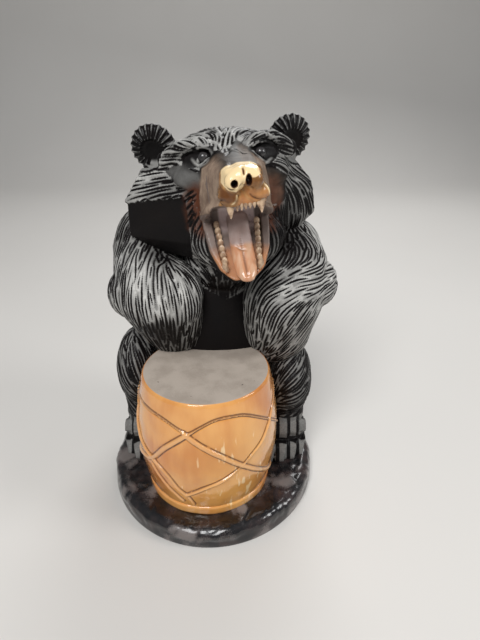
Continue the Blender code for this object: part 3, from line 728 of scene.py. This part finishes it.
# shader maths as expressions
class Wire:
    def __init__(self, paint, socket):
        self.paint, self.socket = paint, socket

    def maths(self, operation, first, second=0.0):
        return self.paint.add("ShaderNodeMath", {"operation": operation}, {0: first, 1: second})

    def __add__(self, other):
        return self.maths("ADD", self, other)

    def __sub__(self, other):
        return self.maths("SUBTRACT", self, other)

    def __mul__(self, other):
        return self.maths("MULTIPLY", self, other)

    def __rsub__(self, other):
        return self.maths("SUBTRACT", other, self)

    __radd__, __rmul__ = __add__, __mul__

    def smooth(self, low, high):  # 0 below low, 1 above high, with a soft step between
        return self.paint.add("ShaderNodeMapRange", {"interpolation_type": "SMOOTHSTEP"},
                              {"Value": self, "From Min": low, "From Max": high})

    def peak(self, other):
        return self.maths("MAXIMUM", self, other)

    def absolute(self):
        return self.maths("ABSOLUTE", self)


class Paint:
    def __init__(self, name, roughness=0.4, **plain):
        self.material = bpy.data.materials.new(name)
        self.material.use_nodes = True
        self.tree = self.material.node_tree
        self.shader = self.tree.nodes["Principled BSDF"]
        self.put(self.shader, {"Roughness": roughness, **plain})

    def put(self, node, sockets):
        for name, value in sockets.items():
            if isinstance(value, Wire):
                self.tree.links.new(value.socket, node.inputs[name])
            else:
                node.inputs[name].default_value = value

    def add(self, kind, settings, sockets, output=0):
        node = self.tree.nodes.new(kind)
        for name, value in settings.items():
            setattr(node, name, value)
        self.put(node, sockets)
        return Wire(self, node.outputs[output])

    def layer(self, name):
        return self.add("ShaderNodeAttribute", {"attribute_name": name}, {}, "Fac")

    def place(self, stretch):
        spot = self.add("ShaderNodeTexCoord", {}, {}, "Object")
        return self.add("ShaderNodeVectorMath", {"operation": "MULTIPLY"}, {0: spot, 1: stretch}, "Vector")

    def noise(self, scale, detail=2.0, stretch=(1, 1, 1), rough=0.5):
        return self.add("ShaderNodeTexNoise", {}, {"Vector": self.place(stretch), "Scale": scale,
                                                   "Detail": detail,
                                                   "Roughness": rough}, "Fac")

    def mix(self, share, first, second):
        first, second = ((*c, 1) if isinstance(c, tuple) else c for c in (first, second))
        return self.add("ShaderNodeMix", {"data_type": "RGBA"}, {0: share, 6: first, 7: second}, 2)

    def bump(self, height, distance, strength):
        return self.add("ShaderNodeBump", {}, {"Height": height, "Distance": distance, "Strength": strength},
                        "Normal")

    def finish(self, **sockets):
        self.put(self.shader, {name.replace("_", " "): value for name, value in sockets.items()})
        return self.material


coatPaint = {"black": (0.0040, 0.0040, 0.0045), "brownBlack": (0.0085, 0.006, 0.0055),
             "pale": (0.64, 0.63, 0.60)}
# pitShade is the near black of painted shade in the nostrils and deep in the mouth, also used for dark
# blotches on the mouth's skin
facePaint = {"burnish": (0.105, 0.034, 0.016), "brownDark": (0.17, 0.115, 0.085),
             "brownPale": (0.36, 0.265, 0.195),
             "varnishPale": (0.90, 0.68, 0.38), "varnish": (0.56, 0.30, 0.11),
             "varnishDeep": (0.12, 0.042, 0.012),
             "gum": (0.52, 0.22, 0.075), "lip": (0.19, 0.145, 0.125), "copper": (0.42, 0.19, 0.09),
             "throat": (0.62, 0.50, 0.48), "pitShade": (0.024, 0.010, 0.006)}


def brushed(paint):  # black stain, and pale paint that a dry brush left on the ridges, as strong as the wearAndLight layer, which also holds painted shadow and painted highlight
    groove, strand, wearAndLight = paint.layer("groove"), paint.layer("strand"), paint.layer("wearAndLight")
    speck, patch = paint.noise(1400, 3), paint.noise(200, 3)
    black = paint.mix(paint.noise(60, 2), coatPaint["black"], coatPaint["brownBlack"])
    top = 1 - groove + (speck - 0.5) * 0.3
    ridge = top.smooth(0.84 - wearAndLight * 0.55, 1.10 - wearAndLight * 0.50)
    tone = wearAndLight * (0.55 + strand * 0.7) * (0.5 + patch * 0.95)
    return paint.mix(ridge * tone, black, coatPaint["pale"]), ridge, groove, speck, patch


def coatMaterial():
    paint = Paint("carvedCoat", 0.4, **{"Specular IOR Level": 0.12})
    colour, ridge, groove, speck, patch = brushed(paint)
    return paint.finish(Base_Color=colour, Roughness=0.30 + ridge * 0.30 + (speck - 0.5) * 0.12,
                        Normal=paint.bump(speck + patch * 0.5, 0.00022, 0.5))


def faceMaterial():
    c = facePaint
    paint = Paint("carvedFace", 0.4, **{"Specular IOR Level": 0.12})
    colour, ridge, groove, speck, patch = brushed(paint)
    warm, brown, gold, flesh, shade = (paint.layer(name) for name in ("warm", "brown", "gold", "flesh",
                                                                      "shade"))
    colour = paint.mix((warm * (1.0 - groove * 1.2) * (0.4 + patch)).smooth(0.25, 0.95) * 0.9, colour,
                       c["burnish"])
    streak = paint.noise(170, 3, (1, 1, 0.3))
    bare = paint.mix((streak * 0.35 + patch * 0.65).smooth(0.28, 0.72), c["brownDark"], c["brownPale"])
    colour = paint.mix((brown - groove * 0.5).smooth(0.1, 0.7), colour, bare)
    varnish = paint.mix((patch * 0.7 + streak * 0.5).smooth(0.76, 0.48) * 0.7, c["varnish"], c["varnishDeep"])
    varnish = paint.mix(paint.layer("gum"), varnish, c["gum"])
    varnish = paint.mix((paint.layer("pad") + (patch - 0.5) * 0.4).smooth(0.3, 0.7), varnish,
                        c["varnishPale"])
    # painted shade under and beside the nose, in the deep varnish colour
    varnish = paint.mix(shade.smooth(0.0, 1.0) * 0.9, varnish, c["varnishDeep"])
    varnish = paint.mix(groove.smooth(0.3, 0.8), varnish, c["varnishDeep"])
    # nostril insides painted near black: painted shade
    varnish = paint.mix(shade.smooth(1.2, 1.8), varnish, c["pitShade"])
    colour = paint.mix(gold.smooth(0.25, 0.7), colour, varnish)
    skin = paint.mix((paint.layer("copper") + (patch - 0.5) * 0.5).smooth(0.2, 0.8), c["lip"], c["copper"])
    skin = paint.mix(paint.layer("throat").smooth(0.2, 0.8), skin, c["throat"])
    # the mouth's skin goes near black in random blotches, and deep inside the mouth as painted shade
    skin = paint.mix(((patch * 0.7 + speck * 0.3).smooth(0.55, 0.72) * 0.6).peak(paint.layer("pitShade")), skin,
                     c["pitShade"])
    colour = paint.mix(flesh.smooth(0.3, 0.7), colour, skin)
    rough = (0.30 + ridge * 0.30 + (speck - 0.5) * 0.12) * (1 - gold.peak(flesh)) + gold * 0.24 + flesh * 0.38
    return paint.finish(Base_Color=colour, Roughness=rough, Coat_Weight=gold * 0.6 + flesh * 0.2,
                        Normal=paint.bump(speck * 0.7 + patch * 0.6, 0.00025, 0.5))


headCells = {"first": 0.0010, "final": 0.00062}
bodyCells, legCells, armCells, tongueCells = 0.00085, 0.00068, 0.00058, 0.00042
softening = 4
coatLook, faceLook = coatMaterial(), faceMaterial()


def finished(name, mesh, material):
    piece = newObject(name, mesh)
    mesh.name = name
    mesh.materials.clear()
    mesh.materials.append(material)
    mesh.shade_smooth()
    mesh.calc_loop_triangles()
    print("stage:", name, len(mesh.loop_triangles), "triangles")
    dressed(piece)


def makeHead():
    mesh = skinned(cast(skull, ears, muzzle, brows, jaw), headCells["first"], 0)
    mesh = hollowed(mesh, cast(mouth, nostrils, sockets, earCups))
    mesh = largestSkin(skinned(newObject("head", mesh), headCells["final"], softening))
    points, normals = meshArrays(mesh)
    movePoints(mesh, points - normals * (ramp(-0.2, 0.9, flatEdge(points)) * flat["drop"] * unit)[:, None])
    cutStrokes(mesh, strokesOver(mesh, lock, bareHead), lock["width"], lock["depth"])
    groove, strand = cutStrokes(mesh, strokesOver(mesh, gouge, bareHead), gouge["width"], gouge["depth"])
    flutes, _ = cutStrokes(mesh, earFlutes(mesh), *blades["flute"])
    ridges, _ = cutStrokes(mesh, faceLines(mesh, faceRidges, eyeRings["ridge"]), *blades["ridge"])
    lines, _ = cutStrokes(mesh, faceLines(mesh, faceCuts, eyeRings["line"]), *blades["line"])
    points, _ = meshArrays(mesh)
    layers = headTones(points)
    face = inHead(points)
    wearAndLight = coatAt(points)[1] * ~bareHead(points)
    # pale grey painted on the smooth patches under the left eye and on the forehead: partly wear, partly a
    # painted sheen
    for name, worn in (("underEye", 0.19), ("forehead", 0.28)):
        wearAndLight = np.maximum(wearAndLight, worn * within(face, patches[name], 3) * (face[:, 1] < -4))
    wearAndLight = np.maximum(wearAndLight, 0.62 * ridges)
    for ex, ey, ez, size, turn in earPlaces:
        away = np.linalg.norm(points - np.array(head(ex, ey, ez)), axis=1) / unit / size
        wearAndLight = np.maximum(wearAndLight, 0.40 * ramp(0.42, 0.62, away) * (away < 1.12))
    layers["wearAndLight"] = wearAndLight * (1 - np.maximum.reduce([layers[name] for name in ("brown", "gold", "flesh")]))
    layers["groove"] = np.maximum.reduce([groove, flutes * 1.1, lines]) * (1 - ridges)
    layers["strand"] = strand
    layers["pad"] = np.maximum(layers["pad"], ridges * layers["gold"])
    for name, values in layers.items():
        addLayer(mesh, name, values)
    return mesh


def toeShade(points):  # darkest between the toes and between knuckles and nails, 0 away from the feet
    x, y, z = inFigure(points).T
    across = np.abs(x - 1.5)
    gaps = [(a[0] + b[0]) / 2 + 0.3 for a, b in zip(toes, toes[1:])]
    between = np.min([np.abs(across - gap) for gap in gaps], axis=0)
    joint = np.abs(z - np.interp(across, [toe[0] for toe in toes], [0.45 * toe[2] for toe in toes]))
    shade = np.maximum(ramp(1.5, 0.5, between), ramp(1.9, 0.7, joint))
    return np.where((across > 36) & (y < 9) & (z < 28), np.maximum(shade, 0.12), 0)


def makeCoated(maker, cells, bareAt):
    mesh = largestSkin(skinned(cast(maker), cells, softening))
    cutStrokes(mesh, strokesOver(mesh, lock, bareAt), lock["width"], lock["depth"])
    groove, strand = cutStrokes(mesh, strokesOver(mesh, gouge, bareAt), gouge["width"], gouge["depth"])
    points, _ = meshArrays(mesh)
    addLayer(mesh, "groove", np.maximum(groove, toeShade(points)))
    addLayer(mesh, "strand", strand)
    bare = bareAt(points)
    addLayer(mesh, "wearAndLight", coatAt(points)[1] * (1 - bare) + 0.34 * (toeShade(points) > 0) * bare)
    return mesh


finished("bear_head", makeHead(), faceLook)
coatedPieces = (("bear_body", torso, bodyCells, bareBody), ("bear_legs", legs, legCells, bareLegs),
                ("bear_arm_left", leftArm, armCells, bareArms),
                ("bear_arm_right", rightArm, armCells, bareArms))
for name, *made in coatedPieces:
    finished(name, makeCoated(*made), coatLook)


# the drum, unrolled: angle round it and height up it
# each strap as (angle, share of the height, half width in mm): a thin one is only a cut line
strapTurns = (
    ((-205, 0.74, 0.4), (-180, 0.83, 0.4), (-156, 0.855, 0.4), (-126, 0.855, 0.4), (-107, 0.80, 0.5),
     (-103, 0.775, 1.5), (-92, 0.70, 1.6), (-75, 0.586, 1.6), (-59, 0.458, 1.5), (-31, 0.236, 1.3),
     (-8, 0.12, 1)),
    ((-190, 0.86, 0.5), (-164, 0.80, 0.5), (-162, 0.664, 1.0), (-153, 0.553, 1.2), (-144, 0.495, 1.3),
     (-135, 0.462, 1.4), (-122, 0.391, 1.2), (-112, 0.264, 1.0), (-105, 0.20, 1.0), (-100, 0.10, 1.0)),
    ((-190, 0.26, 1), (-150, 0.40, 1.3), (-135, 0.462, 1.5), (-120, 0.625, 1.6), (-105, 0.751, 1.5),
     (-99, 0.79, 0.6), (-91, 0.839, 0.35), (-80, 0.886, 0.35), (-66, 0.891, 0.35), (-50, 0.847, 0.35),
     (-21, 0.657, 0.4), (8, 0.42, 0.6), (45, 0.12, 1)),
    ((-135, 0.405, 0.8), (-124, 0.269, 0.8), (-109, 0.12, 0.8)),
    ((-105, 0.20, 1.2), (-90, 0.299, 1.2), (-76, 0.369, 1.0), (-62, 0.451, 0.5), (-51, 0.53, 0.7),
     (-40, 0.593, 0.8), (-31, 0.678, 0.8), (-16, 0.80, 0.5), (10, 0.84, 0.5), (60, 0.50, 1), (95, 0.14, 1)),
    ((45, 0.12, 1), (80, 0.50, 1.2), (115, 0.84, 1), (155, 0.74, 0.8)),
    ((95, 0.14, 1), (130, 0.48, 1.2), (170, 0.86, 0.5)),
)


def drumRadius(share):
    foot, top, swell = drum["footRadius"], drum["headRadius"], drum["bellyRadius"]
    return foot + (top - foot) * share + (swell - (foot + top) / 2) * np.sin(math.pi * share ** 0.92) ** 0.9


def strapGaps(angles, shares):  # distance of each point of the drum's side to the nearest strap's edge
    around = drum["bellyRadius"]
    u, v = np.radians(angles) * around, shares * drum["height"]
    gap, whole = np.full(u.shape, 1.0), 2 * math.pi * around
    for turns in strapTurns:
        rows = [np.array([math.radians(a) * around, s * drum["height"], w / 1000])
                for a, s, w in smoothPath(turns, 8)]
        for a, b in zip(rows, rows[1:]):
            for turn in (-whole, 0, whole):
                along = b - a
                t = (u + turn - a[0]) * along[0] + (v - a[1]) * along[1]
                t = np.clip(t / (along[:2] @ along[:2]), 0, 1)
                away = np.hypot(u + turn - a[0] - t * along[0], v - a[1] - t * along[1])
                gap = np.minimum(gap, away - a[2] - t * along[2])
    return gap


def bumpy(points, scale, seed):  # a smooth random height at each point, about -1 to 1
    shift = Vector((seed * 7.3, seed * 3.1, seed * 5.7))
    return np.array([noise.noise(Vector(p) * scale + shift) for p in points])


def latheMesh(name, rings):  # rings of points, bottom to top, closed at both ends
    count = len(rings[0])
    points = np.concatenate(rings + [rings[0].mean(0)[None], rings[-1].mean(0)[None]])
    faces = []
    for j in range(len(rings) - 1):
        for i in range(count):
            n = (i + 1) % count
            faces.append((j * count + i, j * count + n, (j + 1) * count + n, (j + 1) * count + i))
    bottom, top, last = len(rings) * count, len(rings) * count + 1, (len(rings) - 1) * count
    for i in range(count):
        n = (i + 1) % count
        faces.append((n, i, bottom))
        faces.append((last + i, last + n, top))
    mesh = bpy.data.meshes.new(name)
    mesh.from_pydata(points.tolist(), [], faces)
    mesh.update()
    return mesh


def makeDrum():
    d = drum
    angles = np.arange(d["around"]) / d["around"] * 360 - 180
    turn = np.radians(angles)
    rings, gaps, kinds = [], [], []

    def addRing(radius, height, gap, kind):
        rings.append(np.stack([d["x"] + radius * np.cos(turn), d["y"] + radius * np.sin(turn),
                               np.broadcast_to(height, turn.shape)], 1))
        gaps.append(np.broadcast_to(gap, turn.shape))
        kinds.append(np.full(turn.shape, float(kind)))

    ringTop = slab["thickness"] + d["ringHeight"]
    side = [k / d["rows"] for k in range(d["rows"] + 1)]
    addRing(d["ringRadius"] * 0.97, slab["thickness"] * 0.8, 1, 0)
    for k in range(5):
        addRing(d["ringRadius"], slab["thickness"] + (d["ringHeight"] - 0.0012) * k / 4, 1, 0)
    addRing(d["ringRadius"] - 0.0005, ringTop - 0.0004, 1, 0)
    addRing(d["ringRadius"] - 0.0014, ringTop, 1, 0)
    addRing(drumRadius(d["ringHeight"] / d["height"]) - 0.0004, ringTop - 0.0002, 1, 0)
    for share in side:
        height = slab["thickness"] + d["height"] * share
        if height < ringTop + 0.0004 or height > drumTop - d["rim"] - 0.0002:
            continue
        gap = strapGaps(angles, np.full(turn.shape, share))
        lift = d["strapRise"] * (1 - ramp(-0.0006, 0.0001, gap))
        lift -= d["strapCut"] * np.exp(-((gap - 0.00035) / 0.00045) ** 2)
        addRing(drumRadius(share) + lift, height, gap, 0)
    for k in range(4):
        bend = k / 3 * math.pi / 2
        addRing(d["headRadius"] - d["rim"] * (1 - math.cos(bend)),
                drumTop - d["rim"] * (1 - math.sin(bend)), 1, k / 3)
    for k in range(1, 34):
        addRing((d["headRadius"] - d["rim"]) * (1 - k / 34), drumTop, 1, 1)
    mesh = latheMesh("drum", rings)
    gap = np.concatenate(gaps + [np.ones(2)])
    kind = np.concatenate(kinds + [np.array([0.0, 1.0])])
    points, normals = meshArrays(mesh)
    tool = bumpy(points, 95, 1) * 0.00028 + bumpy(points, 260, 2) * 0.00010  # the hand tool's long flats
    movePoints(mesh, points + normals * (tool * (1 - kind) + bumpy(points, 420, 3) * 0.00005 * kind)[:, None])
    addLayer(mesh, "gap", np.minimum(gap * 1000, 9))
    addLayer(mesh, "skin", kind)
    facing = np.degrees(np.arctan2(points[:, 1] - d["y"], points[:, 0] - d["x"]))
    # paintedGleam: a painted reflection of the pale floor on the lower front-right of the drum
    addLayer(mesh, "paintedGleam", np.exp(-((facing + 62) / 34) ** 2) * ramp(0.105, 0.05, points[:, 2]))
    return mesh


# gold is the colour of the painted reflection, and pale that of the painted glossy highlights
drumPaint = {"honey": (0.80, 0.38, 0.11), "amber": (0.60, 0.20, 0.038), "pale": (0.95, 0.72, 0.40),
             "gold": (0.80, 0.44, 0.12), "line": (0.13, 0.040, 0.010), "strap": (0.82, 0.45, 0.19),
             "skin": (0.46, 0.395, 0.335), "skinDark": (0.36, 0.305, 0.255), "pin": (0.06, 0.05, 0.04)}


def drumMaterial():
    c = drumPaint
    paint = Paint("varnishedDrum", 0.2)
    skin, gap = paint.layer("skin"), paint.layer("gap")
    grain = paint.noise(120, 4, (1, 1, 0.25), 0.55)
    patch, wisp = paint.noise(26, 2), paint.noise(300, 2, (1, 1, 0.22))
    wood = paint.mix((grain * 0.3 + patch * 0.9).smooth(0.45, 0.75), c["honey"], c["amber"])
    paintedGleam = paint.layer("paintedGleam")
    # the wood turns gold where the painted reflection lies
    wood = paint.mix(paintedGleam * 0.55, wood, c["gold"])
    # pale flecks: painted glossy highlights, more of them in the painted reflection
    wood = paint.mix((patch * 0.2 + wisp * 0.7 + paintedGleam * 0.1).smooth(0.60, 0.67) * 0.7, wood, c["pale"])
    wood = paint.mix((1 - gap.smooth(-0.35, 0.15)) * 0.55, wood, c["strap"])
    edge = (gap - 0.35).absolute()
    line = (1 - edge.smooth(0.15, 0.65)) * paint.noise(260, 2).smooth(0.22, 0.42)
    wood = paint.mix(line * 0.85, wood, c["line"])
    speck, dust = paint.noise(1500, 2), paint.noise(60, 4)
    top = paint.mix((dust * 0.8 + speck * 0.2).smooth(0.40, 0.65), c["skin"], c["skinDark"])
    top = paint.mix((paint.noise(330, 1) + speck * 0.15).smooth(0.86, 0.90), top, c["pin"])
    cover = skin.smooth(0.75, 0.95)
    colour = paint.mix(cover, wood, top)
    rough = (0.17 + grain * 0.1) * (1 - cover) + cover * 0.7
    return paint.finish(Base_Color=colour, Roughness=rough, Coat_Weight=(1 - cover) * 0.9,
                        Normal=paint.bump(grain * 0.5 + wisp * 0.2 + speck * cover * 0.5, 0.0003, 0.5))


def makeSlab():
    s, count = slab, 480
    turn = np.arange(count) / count * 2 * math.pi
    rings = []

    def addRing(share, height):
        rings.append(np.stack([s["halfWidth"] * share * np.cos(turn), s["halfDepth"] * share * np.sin(turn),
                               np.full(count, height)], 1))

    for k in range(1, 20):
        addRing(k / 20, 0)
    addRing(1 - 0.0006 / s["halfWidth"], 0)
    for k in range(14):
        addRing(1, 0.0004 + (s["thickness"] - s["edgeRound"] - 0.0004) * k / 14)
    for k in range(13):
        bend = k / 12 * math.pi / 2
        inset = s["edgeRound"] * (1 - math.cos(bend)) / s["halfWidth"]
        addRing(1 - inset, s["thickness"] - s["edgeRound"] * (1 - math.sin(bend)))
    for k in range(1, 80):
        addRing((1 - s["edgeRound"] / s["halfWidth"]) * (1 - k / 80), s["thickness"])
    mesh = latheMesh("base", rings)
    points, normals = meshArrays(mesh)
    lumps = bumpy(points, 75, 4) * 1.1 + np.abs(bumpy(points, 130, 5)) * 0.9 - 0.45
    amount = s["lump"] * ramp(0.001, 0.006, points[:, 2])
    moved = points + normals * (np.minimum(lumps, 0.25) * amount)[:, None]
    moved[:, 2] = np.where(points[:, 2] == 0, 0, moved[:, 2])
    movePoints(mesh, moved)
    addLayer(mesh, "lump", lumps)
    return mesh


# worn is partly rubbed paint and partly a painted sheen, the room's reflection on the glossy base
slabPaint = {"black": (0.006, 0.0055, 0.0065), "brown": (0.040, 0.027, 0.026), "worn": (0.27, 0.235, 0.22)}


def slabMaterial():
    c = slabPaint
    paint = Paint("blackGlossBase", 0.25)
    lump, patch, speck = paint.layer("lump"), paint.noise(90, 3), paint.noise(1100, 3)
    colour = paint.mix(patch.smooth(0.4, 0.7), c["black"], c["brown"])
    # pale patches: partly wear, partly a painted sheen
    worn = (lump * 0.45 + patch * 0.6 + (speck - 0.5) * 0.35).smooth(0.22, 0.54)
    colour = paint.mix(worn * 0.55, colour, c["worn"])
    rough = 0.2 + worn * 0.25 + speck * 0.1
    return paint.finish(Base_Color=colour, Roughness=rough, Coat_Weight=0.5,
                        Normal=paint.bump(speck * 0.4 + patch, 0.0004, 0.6))


finished("drum", makeDrum(), drumMaterial())
finished("base", makeSlab(), slabMaterial())


# teeth, tongue and eyes are small enough to have skins of their own
def plainMaterial(name, tones, roughness, scale, coat=0.5):
    paint = Paint(name, roughness)
    shade = paint.noise(scale, 4)
    colour = paint.mix(shade.smooth(0.35, 0.68), *tones)
    return paint.finish(Base_Color=colour, Roughness=roughness + (shade - 0.5) * 0.2, Coat_Weight=coat,
                        Normal=paint.bump(shade, 0.0002, 0.5))


def makeTongue():
    mesh = skinned(cast(tongue), tongueCells, softening)
    creases = ([head(0, -34, -13), head(0.3, -45, -24.5), head(0.6, -53, -31), head(0.6, -56, -33.5)],
               [head(-4.5, -44, -18), head(-1, -46, -20), head(2.4, -46, -21)])
    groove, _ = cutStrokes(mesh, [snapped(mesh, crease) for crease in creases], *blades["crease"])
    points, _ = meshArrays(mesh)
    addLayer(mesh, "groove", groove)
    addLayer(mesh, "tip", ramp(-15, -25, inHead(points)[:, 2]))
    return mesh


tonguePaint = {"root": (0.40, 0.285, 0.25), "rootPale": (0.50, 0.39, 0.36), "copper": (0.56, 0.26, 0.135),
               "copperPale": (0.62, 0.37, 0.23), "deep": (0.075, 0.028, 0.015)}


def tongueMaterial():
    c = tonguePaint
    paint = Paint("varnishedTongue", 0.25)
    tip, patch, streak = paint.layer("tip"), paint.noise(110, 4), paint.noise(260, 3, (1, 0.3, 0.3))
    root = paint.mix(patch.smooth(0.35, 0.68), c["root"], c["rootPale"])
    copper = paint.mix(streak.smooth(0.45, 0.66), c["copper"], c["copperPale"])
    colour = paint.mix((tip + (patch - 0.5) * 0.6).smooth(0.3, 0.7), root, copper)
    colour = paint.mix(paint.layer("groove").smooth(0.3, 1.0) * 0.75, colour, c["deep"])
    return paint.finish(Base_Color=colour, Roughness=0.40 - tip * 0.18 + (patch - 0.5) * 0.1,
                        Coat_Weight=tip * 0.35,
                        Normal=paint.bump(patch + streak * 0.6, 0.0003, 0.6))


finished("tongue", makeTongue(), tongueMaterial())
finished("teeth", evaluated(cast(teeth)),
         plainMaterial("toothIvory", ((0.60, 0.43, 0.28), (0.26, 0.15, 0.09)), 0.35, 300, 0.3))
finished("eyes", evaluated(cast(eyes)),
         plainMaterial("eyeBlack", ((0.006, 0.006, 0.007), (0.05, 0.046, 0.046)), 0.22, 260, 0.3))


# floor, lights and the camera of the photograph
def setting():
    size, bend = 3.0, 0.5
    rows = [(-size, 0)] + [(1.0 + bend * math.sin(a), bend * (1 - math.cos(a)))
                           for a in (k / 16 * math.pi / 2 for k in range(17))] + [(1.0 + bend, 3)]
    mesh = bpy.data.meshes.new("floor")
    points = [(x, y, z) for y, z in rows for x in (-size, size)]
    mesh.from_pydata(points, [], [(2 * k, 2 * k + 1, 2 * k + 3, 2 * k + 2) for k in range(len(rows) - 1)])
    mesh.shade_smooth()
    floor = newObject("floor", mesh)
    paint = Paint("paleFloor", 0.6)
    shade = paint.noise(3, 2)
    floor.data.materials.append(paint.finish(Base_Color=paint.mix(shade, (0.62, 0.60, 0.57),
                                                                  (0.68, 0.66, 0.63))))


def softLight(name, place, aim, size, power):
    lamp = bpy.data.lights.new(name, "AREA")
    lamp.shape, lamp.size, lamp.energy = "DISK", size, power
    thing = bpy.data.objects.new(name, lamp)
    bpy.context.scene.collection.objects.link(thing)
    thing.location = place
    thing.rotation_euler = (Vector(aim) - Vector(place)).to_track_quat("-Z", "Y").to_euler()


# soft lamps, as (name, place, what it aims at, size in metres, watts)
lamps = (("key", (-0.25, -0.75, 1.0), (0, 0, 0.12), 0.6, 11),
         ("side", (0.9, -0.2, 0.7), (0, 0, 0.12), 0.4, 4),
         ("back", (0.2, 0.9, 0.9), (0, 0, 0.15), 0.6, 6))
room = {"tint": (0.85, 0.88, 0.92, 1), "strength": 0.24}
camera = {"place": (0.020, -0.287, 0.267), "down": 27, "focalPixels": 480, "tall": 640}


def addCamera():
    lens = bpy.data.cameras.new("camera")
    lens.sensor_fit, lens.sensor_height, lens.clip_start = "VERTICAL", 24, 0.01
    lens.lens = camera["focalPixels"] / camera["tall"] * lens.sensor_height
    thing = bpy.data.objects.new("camera", lens)
    bpy.context.scene.collection.objects.link(thing)
    thing.location = camera["place"]
    thing.rotation_euler = (math.radians(90 - camera["down"]), 0, 0)
    bpy.context.scene.camera = thing


setting()
for lamp in lamps:
    softLight(*lamp)
world = bpy.data.worlds.new("room")
bpy.context.scene.world = world
world.use_nodes = True
sky = world.node_tree.nodes["Background"].inputs
sky["Color"].default_value, sky["Strength"].default_value = room["tint"], room["strength"]
addCamera()
bpy.context.scene.view_settings.view_transform = "Standard"
print("stage: lights and camera")
